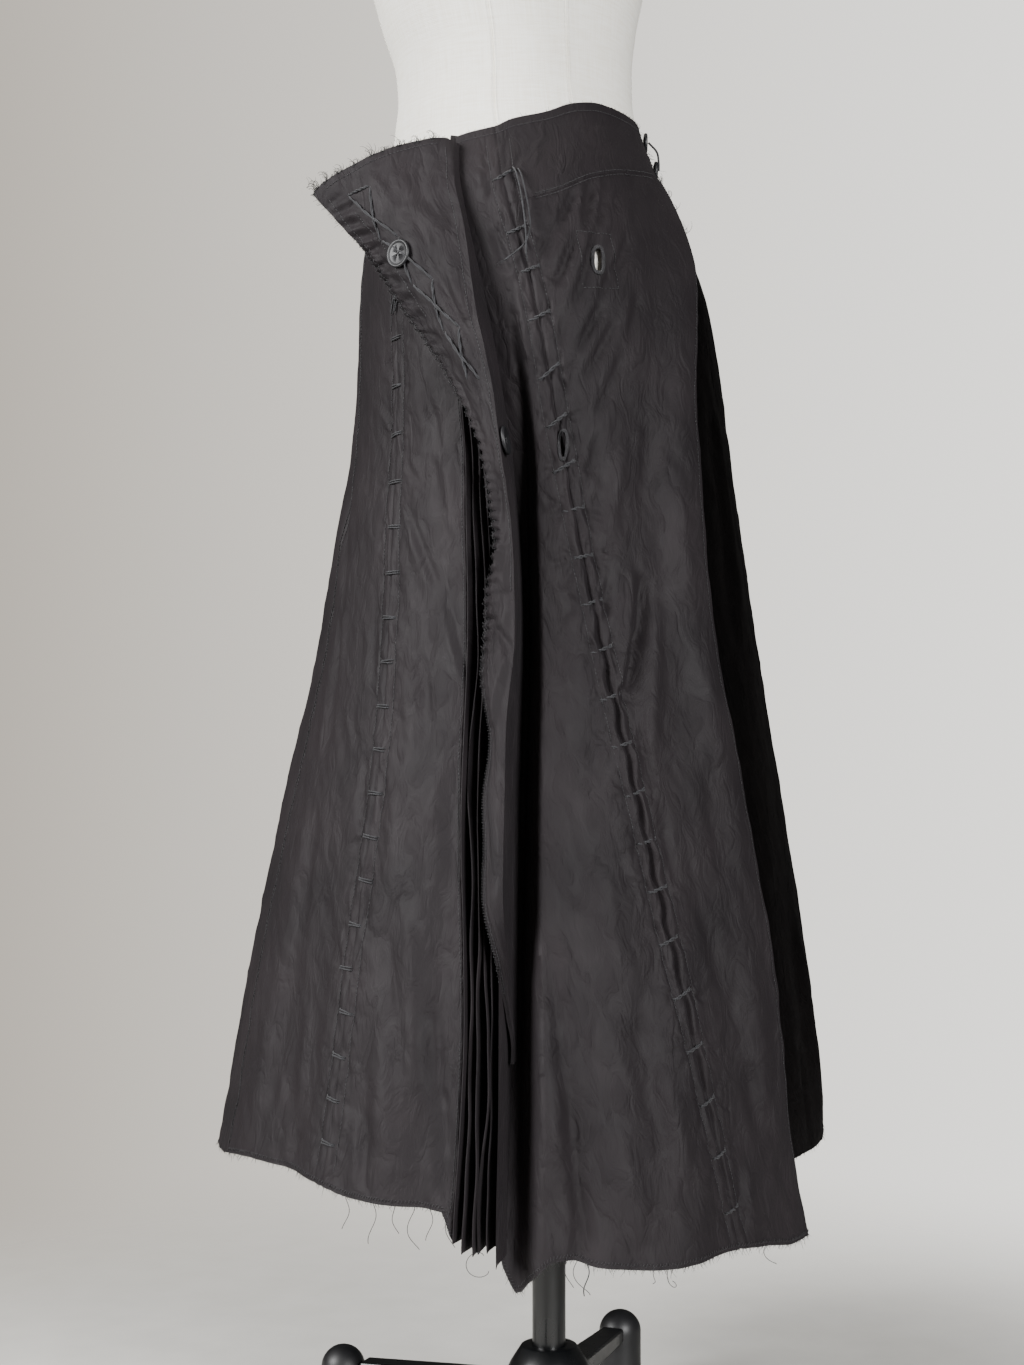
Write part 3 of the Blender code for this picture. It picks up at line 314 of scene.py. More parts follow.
def crease_place(x: Array, z: Array, run: tuple[float, float],
                 width: float) -> tuple[Array, Array]:
    """Where points lie on a crease.

    Args:
        x: Metres to the right of the crease's start.
        z: Metres along the other axis from its start.
        run: The crease's own reach on both axes.
        width: The crease's width.

    Returns:
        The crease's strength, 0 at its ends, and the distance across it in widths.
    """
    length = max(math.hypot(*run), 1e-6)
    along = (x * run[0] + z * run[1]) / length ** 2
    taper = np.clip(1.0 - np.abs(2.0 * along - 1.0) ** 3, 0.0, 1.0)
    return taper, (x * run[1] - z * run[0]) / length / width


class Bar(NamedTuple):
    """Where one bar of lacing crosses its seam."""

    angle: float
    fall: float


class SkirtShape:
    """The skirt's outer surface, from its sections, seams, folds and hems."""

    VALLEY_FOOT = (         # fall, angle at which the valley's far wall starts to rise
        (0.0, -19.0), (0.05, -15.5), (0.16, -10.0), (0.27, -7.0), (0.43, -4.5), (0.60, -3.0),
        (0.74, -2.5), (0.90, -1.5), (1.0, -1.0),
    )

    VALLEY_WALL = 4.5       # degrees over which that wall rises

    def __init__(self) -> None:
        """Reads the tables and the pole's place in the frame."""
        low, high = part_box("stand_pole")
        self.pole = np.array([(low[0] + high[0]) / 2.0, (low[1] + high[1]) / 2.0, 0.0])
        self.left = Curve(SKIRT_SECTIONS, 1)
        self.right = Curve(SKIRT_SECTIONS, 2)
        self.half_depth = Curve(SKIRT_SECTIONS, 3)
        self.top = Curve(TOP_EDGE)
        self.front_hem = Curve(FRONT_HEM)
        self.back_hem = Curve(BACK_HEM)
        names = ("side", "left_lace", "pleats", "valley", "right_lace", "right_edge")
        self.seams = {name: Curve(SEAMS, index + 1) for index, name in enumerate(names)}
        self.valley_depth = Curve(VALLEY)
        self.valley_foot = Curve(self.VALLEY_FOOT)
        self.yoke_depth = Curve(YOKE_DEPTH)

    def height(self, angle: Array, fall: Array, hem: Curve) -> Array:
        """Height of the cloth at a fraction of its fall."""
        top = self.top(half_turn(angle))
        return top + (hem(half_turn(angle)) - top) * fall

    def reach(self, angle: Array, height: Array) -> Array:
        """Metres along the section for one degree of angle.

        Args:
            angle: Angles in degrees.
            height: Heights in metres.

        Returns:
            Metres.
        """
        half_length = (self.right(height) - self.left(height)) / 2.0
        turn = np.radians(angle)
        return np.radians(1.0) * np.hypot(half_length * np.cos(turn),
                                          self.half_depth(height) * np.sin(turn))

    def point(self, angle: Array, height: Array, outward: Array | float = 0.0) -> Array:
        """Points on the section at a height, moved outward square to it.

        Args:
            angle: Angles in degrees.
            height: Heights in metres.
            outward: Distance off the section.

        Returns:
            Points in the frame, one row of x, y and z each.
        """
        angle, height, outward = np.broadcast_arrays(angle, height, outward)
        left = self.left(height)
        right = self.right(height)
        depth = self.half_depth(height)
        half_length = (right - left) / 2.0
        turn = np.radians(angle)
        normal_x = np.sin(turn) / half_length
        normal_y = -np.cos(turn) / depth
        size = np.hypot(normal_x, normal_y)
        x = (left + right) / 2.0 + half_length * np.sin(turn) + normal_x / size * outward
        y = -depth * np.cos(turn) + normal_y / size * outward
        return np.stack([x, y, height], axis=-1) + self.pole

    def outward(self, angle: Array, height: Array) -> Array:
        """Direction square to the section, of length 1."""
        return self.point(angle, height, 1.0) - self.point(angle, height, 0.0)

    def bar_place(self, bar: Bar) -> tuple[float, float]:
        """Height of a bar of lacing, and the metres in one degree of angle there."""
        height = float(self.height(bar.angle, bar.fall, self.front_hem))
        return height, float(self.reach(bar.angle, height))

    def drape(self, angle: Array, fall: Array) -> Array:
        """Outward depth of the large folds and of the valley beside the flap.

        Args:
            angle: Angles in degrees.
            fall: Fractions of the fall.

        Returns:
            Metres outward.
        """
        total = np.zeros(np.broadcast(angle, fall).shape)
        for at, spread, depth, start in FOLDS:
            away = ((angle - at + 180.0) % 360.0 - 180.0) / spread
            total = total + depth * np.exp(-away ** 2) * ease((fall - start) / (1.0 - start))
        valley = self.seams["valley"](fall)
        rise = (angle - self.valley_foot(fall)) / self.VALLEY_WALL
        sunk = self.valley_depth(fall) * (1.0 - ease(rise))
        inside = (angle >= valley - 0.5) & (angle < 90.0)
        return total - np.where(inside, sunk, 0.0)

    def yoke_fall(self, angle: Array) -> Array:
        """Fraction of the fall where the yoke ends."""
        at = half_turn(angle)
        return self.yoke_depth(angle) / (self.top(at) - self.front_hem(at))


def smooth_noise(points: Array, scale: Sequence[float], seed: float, octaves: int = 3) -> Array:
    """Soft noise between about -1 and 1 at each point.

    Args:
        points: Rows of two or three coordinates.
        scale: What each coordinate is multiplied by.
        seed: Shift that gives another pattern.
        octaves: How many finer layers it holds.

    Returns:
        One value for each row.
    """
    flat = points.reshape(-1, points.shape[-1]) * np.asarray(scale)
    if flat.shape[1] == 2:
        flat = np.column_stack([flat, np.full(len(flat), seed)])
    else:
        flat = flat + seed
    values = [noise.fractal(Vector(row), 1.0, 2.0, octaves) for row in flat]
    return np.array(values).reshape(points.shape[:-1])


class Relief:
    """Creases, puckers and crumple on the smooth skirt, as depth outward."""

    SIDE_LOBE = 0.45        # height of the ridge beside a crease, as a share of its depth
    LOBE_PLACE = 1.9        # how many widths beside the crease that ridge lies
    CREASE_GAIN = 1.6
    CREASE_SHARPNESS = 0.8  # factor on every crease's width
    SLIT_DEPTH = ((0.0, 0.0003), (0.30, 0.0005), (0.42, 0.0011), (0.50, 0.0022), (0.60, 0.0030),
                  (0.74, 0.0026), (0.85, 0.0018), (1.0, 0.0014))
    SLIT_WIDTH = 0.0014
    STITCHED = 0.0009       # width of the dent along a stitched line
    RIGHT_LINE = 0.0082     # distance of the stitched lines from the right slit
    LEFT_LINE = 0.0078
    HOLE_DEPTH = 0.0045     # depth of the buttonhole on the laced slit
    SWING = ((0.0, 0.0002), (0.40, 0.0004), (0.52, 0.0011), (0.74, 0.0012), (0.86, 0.0005),
             (1.0, 0.0003))     # how far the laced slit swings from side to side

    def __init__(self, shape: SkirtShape) -> None:
        """Lists the creases: those given one by one, then the puckers of the laced bars.

        Args:
            shape: The skirt's surface.
        """
        self.shape = shape
        self.slit_depth = Curve(self.SLIT_DEPTH)
        self.swing = Curve(self.SWING)
        self.creases = [tuple(row) for row in CREASES]
        self.bars = [Bar(*row) for row in RIGHT_BARS]
        self.bar_falls = np.array([bar.fall for bar in self.bars])
        rng = random.Random(11)
        self._pucker(self.bars, rng, half=0.0072, strength=1.0)
        self._pucker([Bar(*row) for row in LEFT_BARS], rng, half=0.0066, strength=0.55)
        self._gather(rng)

    def _pucker(self, bars: Sequence[Bar], rng: random.Random, half: float,
                strength: float) -> None:
        """Adds short creases that fan out from both ends of each bar.

        Args:
            bars: The bars.
            rng: Seeded source of unevenness.
            half: Half the width of the laced strip.
            strength: Factor on the depth.
        """
        for bar in bars:
            height, reach = self.shape.bar_place(bar)
            for side in (-1.0, 1.0):
                for slope in (-1.15, -0.35, 0.5, 1.2):
                    tilt = slope + rng.uniform(-0.25, 0.25)
                    run = rng.uniform(0.009, 0.021)
                    start = bar.angle + side * half * 0.8 / reach
                    end = start + side * run * math.cos(tilt) / reach
                    depth = -strength * rng.uniform(0.5, 1.15)
                    self.creases.append((start, height, end, height + run * math.sin(tilt),
                                         rng.uniform(1.5, 2.6), depth))
            for slope in (-1.0, -0.3, 0.5, 1.1):
                run = rng.uniform(0.008, 0.016) * (1.0 if slope > 0 else -1.0)
                shift = slope * half * 0.55 / reach
                self.creases.append((bar.angle + shift, height, bar.angle + shift * 1.3,
                                     height + run, 1.6, -strength * rng.uniform(0.4, 0.9)))

    def _gather(self, rng: random.Random) -> None:
        """Adds the small gathers that hang from the yoke's seam.

        Args:
            rng: Seeded source of unevenness.
        """
        for index in range(15):
            angle = 2.0 + 3.6 * index + rng.uniform(-0.8, 0.8)
            top = float(self.shape.top(angle) - self.shape.yoke_depth(angle))
            run = rng.uniform(0.018, 0.050)
            self.creases.append((angle, top + 0.004, angle - run * 210.0, top - run,
                                 rng.uniform(1.8, 3.0), -rng.uniform(0.5, 1.1)))

    def phase(self, fall: Array) -> Array:
        """Count of bars passed, running evenly between each bar and the next."""
        return np.interp(fall, self.bar_falls, np.arange(len(self.bar_falls), dtype=float))

    def slit_swing(self, fall: Array) -> Array:
        """Sideways swing of the laced slit, in metres."""
        return self.swing(fall) * np.sin(2.0 * np.pi * self.phase(fall))

    def slit(self, angle: Array, fall: Array, height: Array) -> Array:
        """Depth of the rolled edges on both sides of the right laced slit.

        Args:
            angle: Angles in degrees.
            fall: Fractions of the fall.
            height: Heights in metres.

        Returns:
            Metres outward.
        """
        at = self.shape.seams["right_lace"](fall)
        away = (angle - at) * self.shape.reach(angle, height)
        near = np.abs(away - self.slit_swing(fall))
        between = np.abs(np.sin(np.pi * self.phase(fall))) ** 0.7
        laced = ease((fall - 0.045) / 0.02)
        depth = self.slit_depth(fall) * (0.15 + 0.85 * between) * laced + 0.0006
        total = -depth * bell(near, self.SLIT_WIDTH)
        puffed = 0.0003 + 0.25 * self.slit_depth(fall)
        total = total + puffed * laced * bell(near - 0.0042, 0.0024)
        hole = bell(height - SECOND_HOLE[1], 0.0072, 4)
        total = total - self.HOLE_DEPTH * hole * bell(away, 0.0015, 4)
        for line in (-self.RIGHT_LINE, self.RIGHT_LINE):
            total = total - 0.0006 * bell(away - line, self.STITCHED)
        return total

    def left_strip(self, angle: Array, fall: Array, height: Array) -> Array:
        """The flat strip between the two stitched lines of the left laced seam.

        Args:
            angle: Angles in degrees.
            fall: Fractions of the fall.
            height: Heights in metres.

        Returns:
            Metres outward.
        """
        at = self.shape.seams["left_lace"](fall)
        away = (angle - at) * self.shape.reach(angle, height)
        total = 0.0005 * bell(away, 0.0055, 6)
        for line in (-self.LEFT_LINE, self.LEFT_LINE):
            total = total - 0.0005 * bell(away - line, self.STITCHED)
        return total

    def depth(self, angle: Array, fall: Array, height: Array) -> Array:
        """All relief together at points of the skirt.

        Args:
            angle: Angles in degrees.
            fall: Fractions of the fall.
            height: Heights in metres.

        Returns:
            Metres outward.
        """
        total = np.zeros(angle.shape)
        for a0, z0, a1, z1, width_mm, depth_mm in self.creases:
            width = self.CREASE_SHARPNESS * width_mm / 1000.0
            middle = (a0 + a1) / 2.0
            reach = float(self.shape.reach(middle, (z0 + z1) / 2.0))
            margin = 4.0 * width
            inside = ((height > min(z0, z1) - margin) & (height < max(z0, z1) + margin)
                      & (angle > min(a0, a1) - margin / reach)
                      & (angle < max(a0, a1) + margin / reach))
            if not inside.any():
                continue
            taper, across = crease_place((angle[inside] - a0) * reach, height[inside] - z0,
                                         ((a1 - a0) * reach, z1 - z0), width)
            form = bell(across, 1.0) - self.SIDE_LOBE * bell(across - self.LOBE_PLACE, 1.0)
            total[inside] += self.CREASE_GAIN * depth_mm / 1000.0 * taper * form
        total += self.slit(angle, fall, height)
        total += self.left_strip(angle, fall, height)
        arc = angle * self.shape.reach(angle, height)
        flat = np.stack([arc, height], axis=-1)
        loose = ease((fall - 0.02) / 0.3)
        total += 0.0015 * loose * smooth_noise(flat, (24.0, 6.0), 3.1, 2)
        slant = np.stack([arc + height * 0.5, height - arc * 0.3], axis=-1)
        total += 0.0006 * (0.35 + 0.65 * loose) * smooth_noise(slant, (95.0, 38.0), 8.7, 2)
        ridged = 1.0 - 2.0 * np.abs(smooth_noise(slant, (52.0, 30.0), 14.3, 2))
        total += 0.0005 * (0.3 + 0.7 * loose) * ridged
        return total * (0.45 + 0.55 * ease(fall / 0.08))


def link_mesh(name: str, points: Array, faces: Sequence[Sequence[int]],
              corner_uv: Array | None = None) -> bpy.types.Object:
    """A new object from points and faces, at the origin.

    Args:
        name: The piece's name.
        points: One row of x, y and z for each vertex.
        faces: The vertices of each face.
        corner_uv: One row of u and v, in metres, for each face corner.

    Returns:
        The object.
    """
    mesh = bpy.data.meshes.new(name)
    mesh.from_pydata(np.asarray(points).tolist(), [], [tuple(face) for face in faces])
    if corner_uv is not None:
        layer = mesh.uv_layers.new(name="cloth")
        layer.data.foreach_set("uv", np.asarray(corner_uv, dtype=np.float32).ravel())
    mesh.shade_smooth()
    item = bpy.data.objects.new(name, mesh)
    bpy.context.scene.collection.objects.link(item)
    return item


def select_only(item: bpy.types.Object) -> None:
    """Selects one object and makes it active.

    Args:
        item: The object.
    """
    for other in bpy.context.selected_objects:
        other.select_set(False)
    item.select_set(True)
    bpy.context.view_layer.objects.active = item


def apply_modifiers(item: bpy.types.Object) -> None:
    """Applies every modifier of an object.

    Args:
        item: The object.
    """
    select_only(item)
    for modifier in list(item.modifiers):
        bpy.ops.object.modifier_apply(modifier=modifier.name)


def cloth_sheet(name: str, grid: Array, uv: Array, thickness: float) -> bpy.types.Object:
    """A closed thin shell behind a grid of outer points, rows going down, columns right.

    Args:
        name: The piece's name.
        grid: Rows by columns by three.
        uv: Rows by columns by two, in metres.
        thickness: The cloth's thickness, laid inward.

    Returns:
        The object.
    """
    rows, columns = grid.shape[:2]
    index = np.arange(rows * columns).reshape(rows, columns)
    faces = np.stack([index[:-1, :-1], index[1:, :-1], index[1:, 1:], index[:-1, 1:]],
                     axis=-1).reshape(-1, 4)
    corner_uv = uv.reshape(-1, 2)[faces.ravel()]
    item = link_mesh(name, grid.reshape(-1, 3), faces, corner_uv)
    wall = item.modifiers.new("wall", "SOLIDIFY")
    wall.thickness = thickness
    wall.offset = -1.0
    apply_modifiers(item)
    item.data.shade_smooth()
    select_only(item)
    bpy.ops.object.shade_smooth_by_angle(angle=math.radians(60.0))
    return item


def cut_away(item: bpy.types.Object, cutter: bpy.types.Object) -> None:
    """Cuts one closed piece out of another and removes the cutter.

    Args:
        item: The piece that is cut.
        cutter: The piece that is taken out of it.
    """
    cutting = item.modifiers.new("hole", "BOOLEAN")
    cutting.object = cutter
    cutting.operation = "DIFFERENCE"
    cutting.solver = "EXACT"
    apply_modifiers(item)
    bpy.data.objects.remove(cutter, do_unlink=True)


def grid_uv(grid: Array) -> Array:
    """Metres across from the middle column and down from the top, for each grid point.

    Args:
        grid: Rows by columns by three.

    Returns:
        Rows by columns by two.
    """
    across = np.zeros(grid.shape[:2])
    across[:, 1:] = np.cumsum(np.linalg.norm(np.diff(grid, axis=1), axis=-1), axis=1)
    middle = grid.shape[1] // 2
    across = across - across[:, middle:middle + 1]
    down = np.zeros(grid.shape[:2])
    down[1:] = np.cumsum(np.linalg.norm(np.diff(grid, axis=0), axis=-1), axis=0)
    return np.stack([across, -down], axis=-1)


def tube_mesh(name: str, routes: Sequence[Array], radius: float, sides: int = 4,
              taper: bool = False) -> bpy.types.Object:
    """Closed round threads along several routes, joined in one piece.

    Args:
        name: The piece's name.
        routes: Each a row of points.
        radius: Half the thread's thickness.
        sides: Faces round the thread.
        taper: Whether each thread thins out to its end.

    Returns:
        The object.
    """
    points: list[Array] = []
    faces: list[tuple[int, ...]] = []
    corner_uv: list[tuple[float, float]] = []
    base = 0
    turns = 2.0 * np.pi * np.arange(sides) / sides
    for route in routes:
        route = np.asarray(route, float)
        count = len(route)
        ahead = np.gradient(route, axis=0)
        ahead /= np.maximum(np.linalg.norm(ahead, axis=1, keepdims=True), 1e-12)
        side = np.cross(ahead[0], (0.31, 0.12, 0.94))
        if np.linalg.norm(side) < 1e-3:
            side = np.cross(ahead[0], (1.0, 0.0, 0.0))
        along = travelled(route)
        for ring in range(count):
            side = side - ahead[ring] * side.dot(ahead[ring])
            side = side / max(np.linalg.norm(side), 1e-12)
            other = np.cross(ahead[ring], side)
            size = radius * (1.0 - 0.7 * ring / (count - 1)) if taper else radius
            points.append(route[ring] + size * (np.outer(np.cos(turns), side)
                                                + np.outer(np.sin(turns), other)))
        for ring in range(count - 1):
            for corner in range(sides):
                a = base + ring * sides + corner
                b = base + ring * sides + (corner + 1) % sides
                faces.append((a, b, b + sides, a + sides))
                left = corner / sides
                right = (corner + 1) / sides
                corner_uv += [(left, along[ring]), (right, along[ring]),
                              (right, along[ring + 1]), (left, along[ring + 1])]
        last = base + (count - 1) * sides
        faces.append(tuple(reversed(range(base, base + sides))))
        faces.append(tuple(range(last, last + sides)))
        corner_uv += [(0.0, 0.0)] * sides + [(0.0, along[-1])] * sides
        base += count * sides
    return link_mesh(name, np.concatenate(points), faces, np.array(corner_uv))


def even_route(points: Array, step: float) -> Array:
    """Points at an even step along a route.

    Args:
        points: The route's points.
        step: Distance between two new points.

    Returns:
        The new points, both ends among them.
    """
    points = np.asarray(points, float)
    along = travelled(points)
    count = max(2, int(round(along[-1] / step)) + 1)
    wanted = np.linspace(0.0, along[-1], count)
    return np.stack([np.interp(wanted, along, points[:, axis]) for axis in range(3)], axis=1)


def curved_route(points: Sequence[Sequence[float]], per_span: int = 8) -> Array:
    """A smooth route through a few points.

    Args:
        points: The points.
        per_span: Steps between each and the next.

    Returns:
        The route's points.
    """
    knots = [np.asarray(point, float) for point in points]
    ends = [2 * knots[0] - knots[1], *knots, 2 * knots[-1] - knots[-2]]
    route = []
    for a, b, c, d in zip(ends, ends[1:], ends[2:], ends[3:]):
        for step in range(per_span):
            share = step / per_span
            route.append(0.5 * (2 * b + (c - a) * share + (2 * a - 5 * b + 4 * c - d) * share ** 2
                                + (3 * b - a - 3 * c + d) * share ** 3))
    route.append(knots[-1])
    return np.array(route)


# ---- Finishes ----
Tree = bpy.types.NodeTree
Node = bpy.types.Node
Socket = bpy.types.NodeSocket
WAVE_PERIOD = 0.314     # a wave texture's period in metres at scale 1


def linear(hex_colour: str) -> tuple[float, float, float, float]:
    """Turns an sRGB hex colour such as "#3a3739" into linear values.

    Args:
        hex_colour: The colour.

    Returns:
        Linear red, green and blue, and an alpha of 1.
    """
    parts = [int(hex_colour[index:index + 2], 16) / 255.0 for index in (1, 3, 5)]
    straight = [part / 12.92 if part <= 0.04045 else ((part + 0.055) / 1.055) ** 2.4
                for part in parts]
    return (*straight, 1.0)


def feed(tree: Tree, node: Node, inputs: dict) -> None:
    """Sets or links a node's inputs.

    Args:
        tree: The node tree.
        node: The node.
        inputs: For each input, by name or index, a value or the socket that feeds it.
    """
    for key, value in inputs.items():
        if isinstance(value, Socket):
            tree.links.new(value, node.inputs[key])
        else:
            node.inputs[key].default_value = value


def add_node(tree: Tree, kind: str, settings: dict | None = None,
             inputs: dict | None = None) -> Node:
    """Adds a node with its settings, values and links.

    Args:
        tree: The node tree.
        kind: The node's type name, without its ShaderNode prefix.
        settings: The node's own properties.
        inputs: For each input, by name or index, a value or the socket that feeds it.

    Returns:
        The node.
    """
    node = tree.nodes.new("ShaderNode" + kind)
    for key, value in (settings or {}).items():
        setattr(node, key, value)
    feed(tree, node, inputs or {})
    return node


def arithmetic(tree: Tree, operation: str, first: Socket, second: Socket | float = 0.0) -> Socket:
    """Result of one sum, such as "ADD", on a socket and another socket or a value."""
    return add_node(tree, "Math", {"operation": operation}, {0: first, 1: second}).outputs[0]


def cloud(tree: Tree, place: Socket, scale: float, detail: float = 2.0,
          distortion: float = 0.0) -> Socket:
    """Soft noise between 0 and 1.

    Args:
        tree: The node tree.
        place: Coordinates in metres.
        scale: How many clouds lie along a metre.
        detail: How many finer layers it holds.
        distortion: How much it swirls.

    Returns:
        The noise.
    """
    inputs = {"Vector": place, "Scale": scale, "Detail": detail, "Distortion": distortion}
    return add_node(tree, "TexNoise", None, inputs).outputs["Fac"]


def weave_bands(tree: Tree, across: Socket, thread: float, distortion: float, detail: float,
                detail_scale: float) -> list[Socket]:
    """The two sets of threads of a plain weave, as waves.

    Args:
        tree: The node tree.
        across: Coordinates in metres that follow the cloth.
        thread: Distance between two threads.
        distortion: How unevenly the threads run.
        detail: How many finer layers that unevenness holds.
        detail_scale: How fine they are.

    Returns:
        The waves of both sets.
    """
    return [add_node(tree, "TexWave", {"bands_direction": way},
                     {"Vector": across, "Scale": WAVE_PERIOD / thread, "Distortion": distortion,
                      "Detail": detail, "Detail Scale": detail_scale}).outputs["Fac"]
            for way in ("X", "Y")]


def remap(tree: Tree, value: Socket, source: tuple[float, float],
          target: tuple[float, float] = (0.0, 1.0), smooth: bool = False) -> Socket:
    """Moves a value from one range to another, held level beyond it.

    Args:
        tree: The node tree.
        value: The value.
        source: The range that it comes from.
        target: The range that it goes to.
        smooth: Whether it starts and ends softly.

    Returns:
        The new value.
    """
    inputs = {"Value": value, "From Min": source[0], "From Max": source[1],
              "To Min": target[0], "To Max": target[1]}
    settings = {"interpolation_type": "SMOOTHSTEP" if smooth else "LINEAR"}
    return add_node(tree, "MapRange", settings, inputs).outputs[0]


def colour_ramp(tree: Tree, factor: Socket, colours: tuple[str, str],
                ends: tuple[float, float] = (0.0, 1.0)) -> Socket:
    """Mixes two hex colours by a factor.

    Args:
        tree: The node tree.
        factor: The factor.
        colours: The colours at its low and its high end.
        ends: The factors at which each is reached.

    Returns:
        The mixed colour.
    """
    ramp = add_node(tree, "ValToRGB", None, {"Fac": factor})
    for stop, colour, position in zip(ramp.color_ramp.elements, colours, ends):
        stop.position = position
        stop.color = linear(colour)
    return ramp.outputs["Color"]


def bump(tree: Tree, height: Socket, depth: float, before: Socket | None = None,
         strength: float = 1.0) -> Socket:
    """A bump, on top of an earlier one if there is one.

    Args:
        tree: The node tree.
        height: The bump's height between 0 and 1.
        depth: Its depth in metres.
        before: The earlier bump.
        strength: How much of it shows.

    Returns:
        The surface's direction.
    """
    inputs = {"Height": height, "Distance": depth, "Strength": strength}
    if before is not None:
        inputs["Normal"] = before
    return add_node(tree, "Bump", None, inputs).outputs["Normal"]


class Place(Enum):
    """What a pattern's coordinates follow."""

    OBJECT = "Object"
    SURFACE = "UV"


@dataclass(frozen=True)
class Finish:
    """A material with a body colour, from which each finish of the part is made."""

    name: str
    slot: str
    dark: str
    light: str
    roughness: float

    def material(self) -> bpy.types.Material:
        """The finish's material, made the first time it is asked for.

        Returns:
            The material.
        """
        found = bpy.data.materials.get(self.name)
        if found is not None:
            return found
        material = bpy.data.materials.new(self.name)
        material.use_nodes = True
        shader = material.node_tree.nodes["Principled BSDF"]
        shader.inputs["Roughness"].default_value = self.roughness
        self.dress(material.node_tree, shader)
        return material

    def dress(self, tree: Tree, shader: Node) -> None:
        """Adds the nodes of a plain finish: its two colours, softly mixed."""
        self.tint(tree, shader, self.place(tree, Place.OBJECT), 20.0)

    def place(self, tree: Tree, follows: Place,
              scale: tuple[float, float, float] = (1.0, 1.0, 1.0)) -> Socket:
        """Coordinates in metres, stretched by a scale."""
        source = add_node(tree, "TexCoord").outputs[follows.value]
        return add_node(tree, "Mapping", None, {"Vector": source, "Scale": scale}).outputs[0]

    def tint(self, tree: Tree, shader: Node, place: Socket, scale: float,
             detail: float = 4.0) -> None:
        """Mixes the dark and the light colour by soft noise."""
        self.colour(tree, shader, cloud(tree, place, scale, detail), (0.32, 0.68))

    def colour(self, tree: Tree, shader: Node, factor: Socket,
               ends: tuple[float, float] = (0.0, 1.0)) -> None:
        """Mixes the dark and the light colour by a factor."""
        mixed = colour_ramp(tree, factor, (self.dark, self.light), ends)
        feed(tree, shader, {"Base Color": mixed})


@dataclass(frozen=True)
class WovenCloth(Finish):
    """Cotton and nylon poplin, piece-dyed black: flat and matt, with a faint silvery sheen."""

    thread: float = 0.00060     # a poplin's threads lie 0.3 mm apart, drawn twice as coarse
    crease: float = 0.012       # size of the small pressed-in creases
    sheen: float = 0.05

    def dress(self, tree: Tree, shader: Node) -> None:
        """Weave and slubs follow the cloth; the creases are small, sharp and slanting.

        Args:
            tree: The material's node tree.
            shader: Its surface shader.
        """
        across = self.place(tree, Place.SURFACE)
        self.tint(tree, shader, across, 14.0, 5.0)
        weave = arithmetic(tree, "MULTIPLY",
                           *weave_bands(tree, across, self.thread, 0.6, 1.0, 0.4))
        slub = cloud(tree, self.place(tree, Place.SURFACE, (1.0, 0.035, 1.0)), 900.0)
        slant = add_node(tree, "Mapping", None, {"Vector": across, "Rotation": (0.0, 0.0, 0.5),
                                                 "Scale": (1.0, 0.45, 1.0)})
        crumple = cloud(tree, slant.outputs[0], 1.0 / self.crease, 3.0, 0.8)
        ridge = arithmetic(tree, "ABSOLUTE", arithmetic(tree, "SUBTRACT", crumple, 0.5))
        normal = bump(tree, ridge, 0.0034, strength=0.75)
        normal = bump(tree, crumple, 0.0016, normal, 0.5)
        normal = bump(tree, slub, 0.00010, normal, 0.6)
        normal = bump(tree, weave, 0.00008, normal, 0.7)
        worn = remap(tree, crumple, (0.3, 0.7), (self.roughness - 0.07, self.roughness + 0.07))
        feed(tree, shader, {"Normal": normal, "Roughness": worn, "Sheen Weight": self.sheen,
                            "Sheen Roughness": 0.42, "Sheen Tint": linear("#b9b3b8"),
                            "Specular IOR Level": 0.15})


@dataclass(frozen=True)
class TwistedThread(Finish):
    """Plied cotton cord or polyester thread: the plies run round it as fine slanting ridges."""

    ply: float = 0.0011         # length of one ply's turn along the cord

    def dress(self, tree: Tree, shader: Node) -> None:
        """The twist follows the cord: once round it for each turn of a ply.

        Args:
            tree: The material's node tree.
            shader: Its surface shader.
        """
        around = self.place(tree, Place.SURFACE, (2.0, 1.0 / self.ply, 1.0))
        parts = add_node(tree, "SeparateXYZ", None, {"Vector": around}).outputs
        total = arithmetic(tree, "ADD", parts[0], parts[1])
        ply = arithmetic(tree, "SINE", arithmetic(tree, "MULTIPLY", total, 2.0 * math.pi))
        self.tint(tree, shader, self.place(tree, Place.OBJECT), 240.0, 2.0)
        feed(tree, shader, {"Normal": bump(tree, ply, 0.00010, strength=0.8),
                            "Sheen Weight": 0.10, "Sheen Roughness": 0.5})


@dataclass(frozen=True)
class LinenCover(Finish):
    """Bleached linen, stretched and sewn on the body: chalky, with long uneven slubs."""

    thread: float = 0.0011      # linen's threads lie 0.5 mm apart, drawn twice as coarse

    def dress(self, tree: Tree, shader: Node) -> None:
        """Weave and slubs follow the cover.

        Args:
            tree: The material's node tree.
            shader: Its surface shader.
        """
        across = self.place(tree, Place.SURFACE)
        weave = arithmetic(tree, "ADD", *weave_bands(tree, across, self.thread, 1.2, 2.0, 0.3))
        slub = arithmetic(tree, "ADD", *(cloud(tree, self.place(tree, Place.SURFACE, run), 620.0)
                                         for run in ((1.0, 0.05, 1.0), (0.05, 1.0, 1.0))))
        self.colour(tree, shader, arithmetic(tree, "MULTIPLY", slub, 0.5), (0.36, 0.60))
        normal = bump(tree, slub, 0.00025, strength=0.5)
        feed(tree, shader, {"Normal": bump(tree, weave, 0.00012, normal, 0.5),
                            "Sheen Weight": 0.12, "Specular IOR Level": 0.2})


